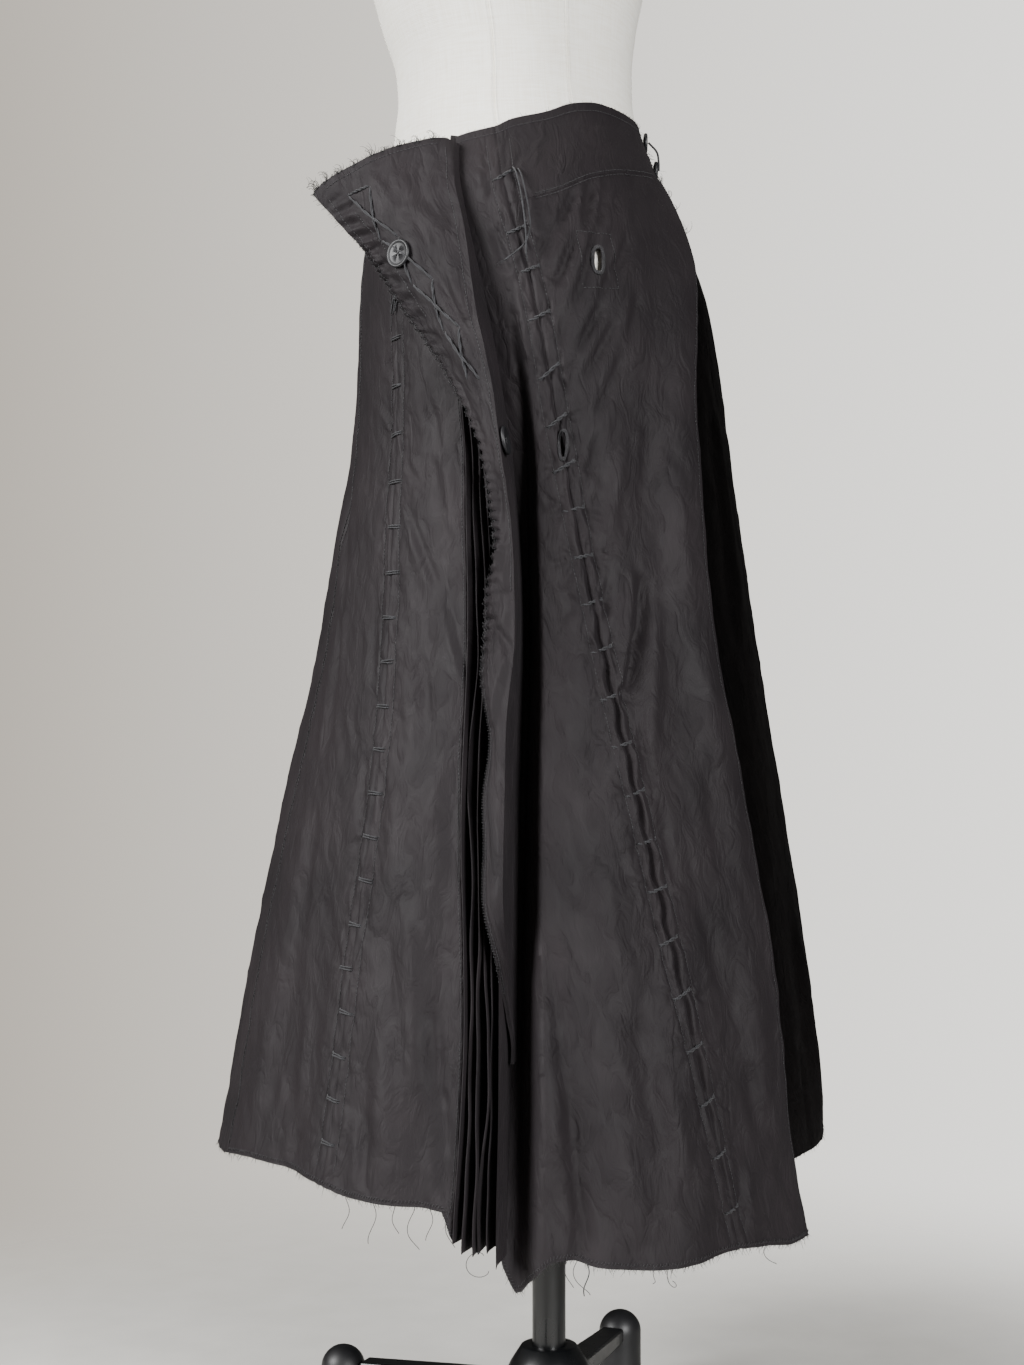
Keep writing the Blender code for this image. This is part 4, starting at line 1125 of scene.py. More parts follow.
@dataclass(frozen=True)
class SmoothCoat(Finish):
    """Powder-coated steel or moulded nylon and resin: even, with a fine grain in its gloss."""

    grain: float = 0.0012       # size of the coat's orange peel or the mould's texture
    depth: float = 0.00004
    coat: float = 0.0

    def dress(self, tree: Tree, shader: Node) -> None:
        """A fine grain in the surface and cloudy wear in its gloss.

        Args:
            tree: The material's node tree.
            shader: Its surface shader.
        """
        place = self.place(tree, Place.OBJECT)
        self.tint(tree, shader, place, 60.0, 5.0)
        grain = cloud(tree, place, 1.0 / self.grain)
        wear = remap(tree, cloud(tree, place, 45.0, 6.0), (0.3, 0.7),
                     (self.roughness - 0.06, self.roughness + 0.10))
        feed(tree, shader, {"Roughness": wear, "Coat Weight": self.coat,
                            "Normal": bump(tree, grain, self.depth, strength=0.6)})


@dataclass(frozen=True)
class TurnedBeech(Finish):
    """Beech, turned and waxed: pale brown rings with short dark flecks."""

    def dress(self, tree: Tree, shader: Node) -> None:
        """Rings of growth seen across the end, flecks 3 mm long.

        Args:
            tree: The material's node tree.
            shader: Its surface shader.
        """
        place = self.place(tree, Place.OBJECT, (1.0, 1.0, 0.15))
        rings = add_node(tree, "TexWave", {"wave_type": "RINGS", "rings_direction": "Z"},
                         {"Vector": place, "Scale": 90.0, "Distortion": 3.0, "Detail": 3.0})
        self.colour(tree, shader, rings.outputs["Fac"])
        fleck = cloud(tree, place, 700.0)
        feed(tree, shader, {"Normal": bump(tree, fleck, 0.00005, strength=0.5)})


POPLIN = WovenCloth("black_poplin", "cloth", "#1b181a", "#242022", 0.62)
CORD = TwistedThread("charcoal_lacing_cord", "lace", "#19191c", "#28282c", 0.68)
THREAD = TwistedThread("black_sewing_thread", "cloth", "#171619", "#242226", 0.66, ply=0.0006)
RAW_THREAD = TwistedThread("frayed_poplin_thread", "cloth", "#121112", "#1d1b1c", 0.76,
                           ply=0.0006)
RESIN = SmoothCoat("black_button_resin", "button", "#131315", "#1b1b1e", 0.44, grain=0.0009,
                   depth=0.00002)
LINEN = LinenCover("bleached_linen_cover", "linen", "#f1ecdf", "#fcfaf2", 0.86)
STEEL = SmoothCoat("black_powder_coated_steel", "black_steel", "#08090a", "#0e0f11", 0.30,
                   coat=0.15)
NYLON = SmoothCoat("moulded_black_nylon", "black_nylon", "#0d0d0f", "#151517", 0.46,
                   grain=0.0008)
BEECH = TurnedBeech("waxed_beech", "wood", "#a0734a", "#c0946a", 0.42)
PLASTER = Finish("pale_studio_floor", "", "#e2e0da", "#e9e7e1", 0.80)


def finish_piece(item: bpy.types.Object, finish: Finish, *nodes: str) -> bpy.types.Object:
    """Gives a piece its material and body, and hides the solids that it stands for.

    Args:
        item: The piece.
        finish: Its finish.
        *nodes: The solids that it replaces.

    Returns:
        The same piece.
    """
    item.data.materials.clear()
    item.data.materials.append(finish.material())
    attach(item, "root")
    if nodes:
        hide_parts(*nodes)
    return item


# ---- The skirt ----
@dataclass
class Panel:
    """One cut piece of the skirt, between two seams."""

    PARTING: ClassVar[float] = 0.002    # degrees between a seam and the cloth's edge
    PASSES: ClassVar[int] = 6           # rounds that settle the yoke's slanting seam
    LONG: ClassVar[float] = 0.75        # about how long a panel is
    YOKE_LONG: ClassVar[float] = 0.075
    ROLL: ClassVar[float] = 0.0011      # how far a sewn edge turns in
    LACED_ROLL: ClassVar[float] = 0.0006
    ROLL_WIDTH: ClassVar[float] = 0.0012
    YOKE_ROLL: ClassVar[float] = 0.0008
    YOKE_ROLL_WIDTH: ClassVar[float] = 0.0014
    node: str
    start: EdgeCurve
    end: EdgeCurve
    hem: Curve
    hem_width: float            # about how wide it is at the hem
    step: float = 0.0036        # distance between two columns
    row_step: float = 0.0026
    laced_start: bool = False
    laced_end: bool = False
    below_yoke: bool = False
    is_yoke: bool = False

    def shares(self) -> Array:
        """Where the columns lie across the piece, closer together near its edges.

        Returns:
            Shares of the width, from 0 to 1.
        """
        even = np.linspace(0.0, 1.0, max(6, int(self.hem_width / self.step)))
        near = np.array([0.0007, 0.0014, 0.0022, 0.0032])
        laced = np.arange(0.0010, 0.0160, 0.0011)
        start = (laced if self.laced_start else near) / self.hem_width
        end = 1.0 - (laced if self.laced_end else near) / self.hem_width
        inner = even[(even > start[-1] + 0.004) & (even < end[-1] - 0.004)]
        return np.unique(np.concatenate([[0.0, 1.0], start, end, inner]))

    def build(self, garment: "Skirt") -> bpy.types.Object:
        """Builds the piece as a thin shell of cloth.

        Args:
            garment: The skirt that it belongs to.

        Returns:
            The dressed piece.
        """
        shape = garment.shape
        shares = self.shares()
        long = self.YOKE_LONG if self.is_yoke else self.LONG
        down = np.linspace(0.0, 1.0, int(long / self.row_step))
        across, fall = np.meshgrid(shares, down)
        rest = fall.copy()
        for _pass in range(self.PASSES):
            first = self.start(rest) + self.PARTING
            angle = first + (self.end(rest) - self.PARTING - first) * across
            if self.is_yoke:
                rest = shape.yoke_fall(angle) * 0.9995 * fall
            elif self.below_yoke:
                top = shape.yoke_fall(angle)
                rest = top + (1.0 - top) * fall
            else:
                break
        if self.is_yoke or self.below_yoke:
            fall = rest
        smooth = shape.point(angle, shape.height(angle, fall, self.hem), shape.drape(angle, fall))
        grid = garment.surface(angle, fall, self.hem, node=self.node)
        width = np.linalg.norm(np.diff(smooth, axis=1), axis=-1).sum(axis=1)[:, None]
        edge = np.minimum(across, 1.0 - across) * width
        laced = np.where(across < 0.5, self.laced_start, self.laced_end)
        rolled = -np.where(laced, self.LACED_ROLL, self.ROLL) * bell(edge, self.ROLL_WIDTH)
        if self.below_yoke or self.is_yoke:
            from_seam = (down if self.below_yoke else 1.0 - down) * long
            rolled = rolled - self.YOKE_ROLL * bell(from_seam[:, None], self.YOKE_ROLL_WIDTH)
        grid = garment.push(grid, angle, rolled)
        garment.grids[self.node] = grid
        item = cloth_sheet(self.node + "_cloth", grid, grid_uv(smooth), garment.CLOTH)
        if self.below_yoke:
            Buttonholes(garment).cut(item)
        finish_piece(item, POPLIN, self.node)
        LOG.info("%s: %d triangles", item.name, 2 * len(item.data.polygons))
        return item


class Skirt:
    """The garment: its panels, pleats, flap, lacing, stitching and raw edges."""

    CLOTH = 0.0008          # thickness of the cloth
    UNDERLAP = 0.0030       # how far the right back piece lies under the smooth skirt
    EDGE_LIFT = 0.0105      # how far the right front's free edge stands off the back piece
    TUCK_ANGLE = 7.0        # degrees by which the back piece reaches under the front
    CLOSURE_GAP = 2.4       # degrees between both at the waist

    def __init__(self, shape: SkirtShape) -> None:
        """Sets the piece list out.

        Args:
            shape: The skirt's surface.
        """
        self.shape = shape
        self.relief = Relief(shape)
        self.grids: dict[str, Array] = {}
        seams = shape.seams
        hem = shape.front_hem

        def laced_right(fall: Array) -> Array:
            """Angle of the right laced slit, which swings from bar to bar.

            Args:
                fall: Fractions of the fall.

            Returns:
                Angles in degrees.
            """
            at = seams["right_lace"](fall)
            reach = shape.reach(at, shape.height(at, fall, hem))
            return at + self.relief.slit_swing(fall) / reach

        self.panels = (
            Panel("left_back_panel", lambda fall: np.full(np.shape(fall), -180.0), seams["side"],
                  hem, 0.46, step=0.0052, row_step=0.0042),
            Panel("left_side_panel", seams["side"], seams["left_lace"], hem, 0.13,
                  laced_end=True),
            Panel("left_front_panel", seams["left_lace"], seams["pleats"], hem, 0.12,
                  laced_start=True),
            Panel("centre_front_panel", seams["valley"], laced_right, hem, 0.16,
                  laced_end=True),
            Panel("right_front_panel", laced_right, seams["right_edge"], hem, 0.15,
                  laced_start=True, below_yoke=True),
            Panel("right_hip_yoke", laced_right, seams["right_edge"], hem, 0.16,
                  laced_start=True, is_yoke=True, row_step=0.0022),
            Panel("right_back_panel", self.back_start,
                  lambda fall: np.full(np.shape(fall), 180.0), shape.back_hem, 0.50,
                  step=0.0052, row_step=0.0042),
        )

    def back_start(self, fall: Array) -> Array:
        """Front edge of the right back piece, tucked under the front piece below the waist.

        Args:
            fall: Fractions of the fall.

        Returns:
            Angles in degrees.
        """
        tucked = ease((fall - 0.09) / 0.06)
        edge = self.shape.seams["right_edge"](fall)
        return edge + self.CLOSURE_GAP - (self.TUCK_ANGLE + self.CLOSURE_GAP) * tucked

    def lift(self, angle: Array, fall: Array, node: str) -> Array:
        """How far the overlapping right pieces stand apart from the smooth skirt.

        Args:
            angle: Angles in degrees.
            fall: Fractions of the fall.
            node: The panel's node name.

        Returns:
            Metres outward.
        """
        edge = self.shape.seams["right_edge"](fall)
        if node == "right_front_panel":
            return (self.EDGE_LIFT * ease((fall - 0.03) / 0.12)
                    * (1.0 - 0.65 * ease((fall - 0.75) / 0.25))
                    * ease((angle - edge + 17.0) / 15.0))
        if node == "right_back_panel":
            return (-self.UNDERLAP * ease((fall - 0.02) / 0.10)
                    * (1.0 - ease((angle - edge - 1.0) / 12.0)))
        return np.zeros(np.shape(angle))

    def surface(self, angle: Array, fall: Array, hem: Curve, lift: Array | float = 0.0,
                node: str = "") -> Array:
        """Points on the creased cloth.

        Args:
            angle: Angles in degrees.
            fall: Fractions of the fall.
            hem: The hem that the fall ends at.
            lift: More distance outward.
            node: The panel's node name, where its own lift counts.

        Returns:
            Points in the frame.
        """
        angle, fall = np.broadcast_arrays(np.asarray(angle, float), np.asarray(fall, float))
        height = self.shape.height(angle, fall, hem)
        outward = self.shape.drape(angle, fall) + self.relief.depth(angle, fall, height)
        outward = outward + self.lift(angle, fall, node) + lift
        return self.shape.point(angle, height, outward)

    def push(self, grid: Array, angle: Array, outward: Array) -> Array:
        """Moves points square to the skirt's section."""
        return grid + self.shape.outward(angle, grid[..., 2]) * np.asarray(outward)[..., None]

    def build(self) -> None:
        """Builds every panel."""
        for panel in self.panels:
            panel.build(self)


@dataclass
class PleatStack:
    """The stack of narrow pleats beside the flap, folded from one strip."""

    STANDING: ClassVar[tuple] = (0.0, 0.0010, -0.0060, 0.0, -0.0090, -0.0015, 0.0)
    WAVES: ClassVar[float] = 9.0        # how many soft waves each leaf has from top to hem
    SWAY_WIDTH: ClassVar[float] = 1.7   # sideways sway of a leaf, in leaf widths
    SWAY_DEPTH: ClassVar[float] = 0.0045
    SET_BACK: ClassVar[float] = 0.0012  # how far the outer leaves stand back at the seams
    leaves: int = 5
    rows: int = 300
    per_limb: int = 5
    cloth: float = 0.0005

    def build(self, garment: Skirt) -> bpy.types.Object:
        """Folds the strip back and forth, each leaf a little unlike the next.

        Args:
            garment: The skirt.

        Returns:
            The dressed piece.
        """
        shape = garment.shape
        limbs = 2 * self.leaves
        fall = np.linspace(0.0, 1.0, self.rows)
        height = shape.height(shape.seams["pleats"](fall), fall, shape.front_hem)
        half_gap = np.degrees(0.0002 / shape.half_depth(height))
        start = shape.seams["pleats"](fall) + half_gap * 3.0
        end = shape.seams["valley"](fall) - half_gap * 2.0
        width = (end - start) / limbs
        outward = Curve(PLEATS, 1)(fall)
        inward = Curve(PLEATS, 2)(fall)
        down = np.stack([fall * self.WAVES, fall * 0.0], axis=-1)
        columns = []
        for limb in range(limbs):
            wave, next_wave = (smooth_noise(down, (1.0, 1.0), 2.7 * (side // 2) + 1.3, 2)
                               for side in (limb, limb + 1))
            for step in range(self.per_limb):
                share = step / (self.per_limb - 1)
                inner = min(1.0, limb + share, limbs - limb - share)
                sway = ((1.0 - share) * wave + share * next_wave) * inner
                leaf = (limb + share + 1.0) / 2.0
                shift = np.interp(leaf, range(len(self.STANDING)), self.STANDING) * inner
                at = start + width * (limb + share) + width * self.SWAY_WIDTH * sway
                out = outward + self.SWAY_DEPTH * sway + shift - self.SET_BACK * (1.0 - inner)
                reach = (out + inward) * (share if limb % 2 else 1.0 - share) - inward
                level = shape.height(at, fall, shape.front_hem)
                columns.append(shape.point(at, level, reach))
        sunk = shape.valley_depth(fall)
        for share in np.linspace(0.15, 1.0, self.per_limb):
            at = end + (1.4 * half_gap / half_gap.max() + 0.6) * share
            deep = outward - (outward + sunk + 0.0040) * share
            columns.append(shape.point(at, shape.height(end, fall, shape.front_hem) + 0.002,
                                       deep))
        grid = np.stack(columns, axis=1)
        item = cloth_sheet("front_pleats_cloth", grid, grid_uv(grid), self.cloth)
        finish_piece(item, POPLIN, "front_pleats")
        garment.grids["front_pleats"] = grid
        LOG.info("%s: %d triangles", item.name, 2 * len(item.data.polygons))
        return item


class Flap:
    """The turned-back front flap: a face, its fold and a return strip to its seam."""

    SEAT = 0.0013           # how far the sewn edge lies off the centre front
    SEAM_ANGLE = 2.6        # degrees from the valley to the sewn edge
    CROWN = 0.0108          # rise of the upper edge's middle
    CROWN_REACH = 0.12      # share of the length over which that rise runs out
    LENGTH = 0.63           # from the upper edge to the lower end
    TOP = 0.962             # height at which its seam starts
    HEM = 0.210             # height of the hem below its seam
    THICKNESS = 0.0009
    GATHER = 0.0034         # half a wave of the gathered free edge
    RUFFLE = 0.0095         # half a wave of the wider ruffle above it
    CREASE_GAIN = 1.5
    RUN_OUT = 0.84          # share of the length below which the strip runs out
    ROWS = 300
    CREASES = (  # share and place across at both ends, width and depth in mm
        (0.02, 0.30, 0.16, 0.22, 5.0, -1.4), (0.03, 0.62, 0.12, 0.45, 4.0, 1.0),
        (0.10, 0.30, 0.28, 0.15, 5.0, 1.3), (0.20, 0.45, 0.34, 0.10, 4.0, -1.2),
        (0.06, 0.15, 0.20, 0.08, 4.0, -1.0), (0.34, 0.30, 0.44, 0.15, 3.0, -1.0),
        (0.47, 0.20, 0.56, 0.80, 4.0, -1.8), (0.55, 0.80, 0.60, 0.20, 4.0, 1.6),
        (0.62, 0.90, 0.66, 0.05, 3.5, -2.4), (0.65, 0.10, 0.72, 0.75, 4.0, 1.8),
        (0.74, 0.70, 0.88, 0.30, 4.0, -1.0),
    )

    def __init__(self, garment: Skirt) -> None:
        """Reads the flap's rows.

        Args:
            garment: The skirt.
        """
        self.garment = garment
        rows = [(index / (len(FLAP) - 1), *row) for index, row in enumerate(FLAP)]
        self.curves = [Curve(rows, column) for column in range(1, 8)]

    def fold(self, share: Array) -> Array:
        """Points of the folded edge, which runs into the seam at the flap's lower end.

        Args:
            share: Shares of the flap's length.

        Returns:
            Points in the frame.
        """
        edge = (np.stack([self.curves[i](share) for i in range(3)], axis=-1)
                + self.garment.shape.pole)
        away = 0.8 * self.run_out(share)
        return edge + (self.sewn(share) - edge) * away[..., None]

    def run_out(self, share: Array) -> Array:
        """0 above the strip's last stretch, rising to 1 at its lower end."""
        return ease((np.asarray(share) - self.RUN_OUT) / (1.0 - self.RUN_OUT))

    def spread(self, share: Array) -> Array:
        """Uneven width of the narrow lower strip, which runs out to nothing at its end.

        Args:
            share: Shares of the flap's length.

        Returns:
            Factors on the width.
        """
        lower = ease((share - 0.50) / 0.08)
        uneven = 0.16 * np.sin(share * 31.0 + 0.6) + 0.10 * np.sin(share * 67.0)
        return (1.0 + lower * uneven) * (1.0 - 0.85 * self.run_out(share))

    def free(self, share: Array) -> Array:
        """Points of the free edge.

        Args:
            share: Shares of the flap's length.

        Returns:
            Points in the frame.
        """
        edge = (np.stack([self.curves[i](share) for i in range(3, 6)], axis=-1)
                + self.garment.shape.pole)
        fold = self.fold(share)
        return fold + (edge - fold) * self.spread(share)[..., None]

    def sewn(self, share: Array) -> Array:
        """Points of the edge that is sewn to the centre front.

        Args:
            share: Shares of the flap's length.

        Returns:
            Points in the frame.
        """
        shape = self.garment.shape
        height = self.curves[2](share)
        fall = (self.TOP - height) / (self.TOP - self.HEM)
        angle = shape.seams["valley"](fall) + self.SEAM_ANGLE
        return shape.point(angle, height, self.SEAT + shape.drape(angle, fall))

    def outward(self, share: Array) -> Array:
        """Direction out of the flap's face.

        Args:
            share: Shares of the flap's length.

        Returns:
            Directions of length 1.
        """
        along = self.free(share) - self.fold(share)
        out = np.cross(along, (0.0, 0.0, 1.0))
        out = out * np.where(out[..., 1:2] > 0.0, -1.0, 1.0)
        return unit(out)

    def depth(self, share: Array, across: Array) -> Array:
        """Relief of the face: the roll of the cloth, creases and the gathered free edge.

        Args:
            share: Shares of the flap's length.
            across: From the fold at 0 to the free edge at 1.

        Returns:
            Metres outward.
        """
        span = np.linalg.norm(self.free(share) - self.fold(share), axis=-1)
        total = self.curves[6](share) * np.maximum(np.sin(np.pi * np.clip(across, 0.0, 1.0)), 0.0)
        for s0, a0, s1, a1, width_mm, depth_mm in self.CREASES:
            middle = np.array((s0 + s1) / 2)
            reach = float(np.linalg.norm(self.free(middle) - self.fold(middle)))
            taper, aside = crease_place((across - a0) * reach, (share - s0) * self.LENGTH,
                                        ((a1 - a0) * reach, (s1 - s0) * self.LENGTH),
                                        width_mm / 1000.0)
            total = total + self.CREASE_GAIN * depth_mm / 1000.0 * taper * bell(aside, 1.0)
        from_edge = (1.0 - across) * span
        gathered = ease((share - 0.12) / 0.10) * (1.0 - ease((share - 0.62) / 0.12))
        wave = np.sin(share * self.LENGTH / self.GATHER * np.pi + 1.4 * np.sin(share * 37.0))
        total = total + 0.0023 * gathered * wave * bell(from_edge, 0.008)
        total = total + 0.0030 * gathered * bell(from_edge - 0.006, 0.0042)
        slack = ease((share - 0.02) / 0.06) * (1.0 - ease((share - 0.30) / 0.10))
        wide = np.sin(share * self.LENGTH / self.RUFFLE * np.pi + 2.0 * np.sin(share * 23.0))
        total = total + 0.0016 * slack * wide * bell(from_edge - 0.010, 0.009)
        flat = np.stack([across * span, share * self.LENGTH], axis=-1)
        total = total + 0.0022 * smooth_noise(flat, (45.0, 22.0), 5.5, 3)
        flat_edge = bell(across * span, 0.003)
        return total * (1.0 - 0.6 * flat_edge)

    def face(self, share: Array, across: Array, lift: Array | float = 0.0) -> Array:
        """Points of the face.

        Args:
            share: Shares of the flap's length.
            across: From the fold at 0 to the free edge at 1.
            lift: Distance off the cloth.

        Returns:
            Points in the frame.
        """
        share, across = np.broadcast_arrays(np.asarray(share, float), np.asarray(across, float))
        fold = self.fold(share)
        rise = (self.CROWN * np.sqrt(np.maximum(np.sin(np.pi * np.clip(across, 0.0, 1.0)), 0.0))
                * (1.0 - ease(share / self.CROWN_REACH)))
        place = fold + (self.free(share) - fold) * across[..., None]
        place = place + self.outward(share) * (self.depth(share, across) + lift)[..., None]
        return place + np.stack([rise * 0.0, rise * 0.0, rise], axis=-1)

    def build(self) -> bpy.types.Object:
        """Builds the flap in one piece.

        Returns:
            The dressed piece.
        """
        share = np.linspace(0.0, 1.0, self.ROWS)
        columns = [self.face(share, np.full(share.shape, across))
                   for across in np.concatenate([[1.0, 0.985, 0.965], np.linspace(0.94, 0.06, 34),
                                                 [0.03, 0.0]])]
        fold = self.fold(share)
        sewn = self.sewn(share)
        for step in (0.12, 0.3, 0.5, 0.7, 0.85, 1.0):
            columns.append(fold + (sewn - fold) * step)
        grid = np.stack(columns, axis=1)
        item = cloth_sheet("front_flap_cloth", grid, grid_uv(grid), self.THICKNESS)
        finish_piece(item, POPLIN, "front_flap")
        LOG.info("%s: %d triangles", item.name, 2 * len(item.data.polygons))
        return item


# ---- Threads: lacing, stitches and raw edges ----
THREAD_RADIUS = 0.00024
YARN_RADIUS = 0.00019       # of the ends along a raw edge
OVERLOCK_RADIUS = 0.00020
LOOSE_RADIUS = 0.00022
PURL_RADIUS = 0.00036
LINEN_THREAD_RADIUS = 0.00016
PLY_RADIUS = 0.00014        # of one ply at the cord's frayed end
TAIL_RADIUS = 0.0006
LEFT_LACE_RADIUS = 0.00052
FLAP_LACE_RADIUS = 0.00055
LINK_RADIUS = 0.0008
STITCH = 0.0021         # length of one machine stitch
STITCH_GAP = 0.0009     # cloth between two of them
STITCH_GRAIN = 0.0007   # step in which stitches are laid out


def dashes(route: Array, gap: float = STITCH_GAP) -> list[Array]:
    """Single stitches along a route.

    Args:
        route: Points on the cloth, close together.
        gap: Cloth between two stitches.

    Returns:
        One short route for each stitch.
    """
    fine = even_route(route, STITCH_GRAIN)
    step = max(1, int(round((STITCH + gap) / STITCH_GRAIN)))
    run = max(2, int(round(STITCH / STITCH_GRAIN)))
    return [fine[[start, start + (run + 1) // 2, start + run]]
            for start in range(0, len(fine) - run, step)]


def twisted_pair(middle: Array, aside: Array, out: Array, radius: float,
                 turns: float) -> list[Array]:
    """Two strands wound round each other along a route.

    Args:
        middle: The route's points.
        aside: Direction across the route.
        out: Direction out of the cloth.
        radius: Distance of each strand's middle from the route.
        turns: How often the strands go round.

    Returns:
        The two routes.
    """
    angle = 2.0 * np.pi * turns * np.linspace(0.0, 1.0, len(middle))
    return [middle + radius * (np.cos(angle + start)[:, None] * aside
                               + np.sin(angle + start)[:, None] * out)
            for start in (0.0, math.pi)]


@dataclass
class Lacing:
    """The cord laced across both slits, and its free tails."""

    FALL_LENGTH: ClassVar[float] = 0.72     # metres of cloth in one whole fall
    garment: Skirt
    radius: float = 0.00062

    def build(self) -> None:
        """Builds the bars of both slits and the two tails."""
        self.left_bars()
        self.right_bars()
        self.tail("lace_tail_long", LONG_TAIL)
        self.tail("lace_tail_short", SHORT_TAIL)

    def left_bars(self) -> None:
        """Nearly level pairs of strands over the flat strip of the left seam."""
        shape = self.garment.shape
        rng = random.Random(5)
        routes = []
        for row in LEFT_BARS:
            bar = Bar(*row)
            reach = shape.bar_place(bar)[1]
            for side in (-1.0, 1.0):
                tilt = rng.uniform(-0.09, 0.09)
                away = np.linspace(-0.0064, 0.0064, 9) + rng.uniform(-0.0004, 0.0004)
                rise = side * 0.00075 + tilt * away
                lift = 0.0011 - 0.0019 * (np.abs(away) / 0.0064) ** 8
                fall = bar.fall - rise / self.FALL_LENGTH
                routes.append(self.garment.surface(bar.angle + away / reach, fall,
                                                   shape.front_hem, lift=lift))
        first = Bar(-48.5, 0.152)
        reach = shape.bar_place(first)[1]
        for shift in (-0.0028, -0.0002, 0.0026):
            down = np.linspace(-0.009, 0.008, 7) + rng.uniform(-0.001, 0.001)
            away = shift + 0.0006 * np.sin(down * 300.0 + shift * 900.0)
            fall = first.fall + down / self.FALL_LENGTH
            routes.append(self.garment.surface(first.angle + away / reach, fall, shape.front_hem,
                                               lift=np.linspace(-0.0006, 0.0016, 7)))
        item = tube_mesh("left_lacing", routes, LEFT_LACE_RADIUS, sides=6)
        finish_piece(item, CORD)
        LOG.info("left_lacing: %d bars", len(routes))

    def right_bars(self) -> None:
        """Twisted pairs that draw the right slit together, each rising to the right."""
        shape = self.garment.shape
        rng = random.Random(9)
        routes = []
        for row in RIGHT_BARS:
            bar = Bar(*row)
            height, reach = shape.bar_place(bar)
            half = rng.uniform(0.0066, 0.0076)
            rise = half * math.tan(math.radians(rng.uniform(13.0, 21.0)))
            climb = rise / self.FALL_LENGTH
            ends = [self.garment.surface(bar.angle + side * half / reach, bar.fall - side * climb,
                                         shape.front_hem, lift=-0.0006) for side in (-1.0, 1.0)]
            along = np.linspace(0.0, 1.0, 17)
            middle = ends[0] + (ends[1] - ends[0]) * along[:, None]
            out = shape.outward(bar.angle, height)
            bow = 0.0022 * np.clip(np.sin(np.pi * along), 0.0, 1.0) ** 0.35
            middle = middle + out * bow[:, None]
            across = np.cross(out, unit(ends[1] - ends[0]))
            routes += twisted_pair(middle, across, out * 0.7, 0.00068, 1.6)
        item = tube_mesh("right_lacing", routes, self.radius, sides=6)
        finish_piece(item, CORD)
        LOG.info("right_lacing: %d strands", len(routes))

    def tail(self, node: str, table: Sequence[Sequence[float]]) -> None:
        """One free tail of the cord, with its plies spread at the end.

        Args:
            node: The solid that it replaces.
            table: Angle, height and lift of its points.
        """
        shape = self.garment.shape
        knots = [shape.point(*row) for row in table]
        route = even_route(curved_route(knots, 12), 0.0015)
        item = tube_mesh(node + "_cord", [route], TAIL_RADIUS, sides=8)
        finish_piece(item, CORD, node)
        rng = random.Random(len(node))
        ahead = unit(route[-1] - route[-3])
        ends = []
        for _ply in range(9):
            aim = ahead + np.array([rng.uniform(-0.35, 0.35) for _axis in range(3)])
            run = rng.uniform(0.003, 0.006)
            ends.append(np.array([route[-1] - ahead * 0.0006, route[-1] + aim * run * 0.5,
                                  route[-1] + aim * run + np.array([0.0, 0.0, -0.0004])]))
        frayed = tube_mesh(node + "_frayed_end", ends, PLY_RADIUS, sides=4, taper=True)
        finish_piece(frayed, CORD)


@dataclass
class FlapLacing:
    """The cord crossed over the flap's upper part between two rows of eyelets."""

    flap: Flap
    outer: tuple = ((0.053, 0.823), (0.174, 0.753), (0.248, 0.648), (0.310, 0.508),
                    (0.366, 0.420))
    inner: tuple = ((0.056, 0.630), (0.177, 0.578), (0.245, 0.403), (0.304, 0.263),
                    (0.363, 0.210))

    def build(self) -> bpy.types.Object:
        """Builds the crosses and the bar at their top.

        Returns:
            The dressed piece.
        """
        spans = [(self.inner[0], self.outer[0])]
        for index in range(len(self.outer) - 1):
            spans.append((self.outer[index], self.inner[index + 1]))
            spans.append((self.inner[index], self.outer[index + 1]))
        routes = []
        for number, (first, last) in enumerate(spans):
            along = np.linspace(0.0, 1.0, 15)
            share = first[0] + (last[0] - first[0]) * along
            across = first[1] + (last[1] - first[1]) * along
            over = 0.0021 if number % 2 else 0.0012
            lift = over * np.sin(np.pi * along) ** 0.4 - 0.0007 * (1.0 - np.sin(np.pi * along))
            middle = self.flap.face(share, across, lift)
            out = self.flap.outward(share)
            aside = np.cross(out, unit(np.gradient(middle, axis=0)))
            routes += twisted_pair(middle, aside, out, 0.00052, 2.5)
        item = tube_mesh("flap_lacing", routes, FLAP_LACE_RADIUS, sides=6)
        LOG.info("flap_lacing: %d strands", len(routes))
        return finish_piece(item, CORD)


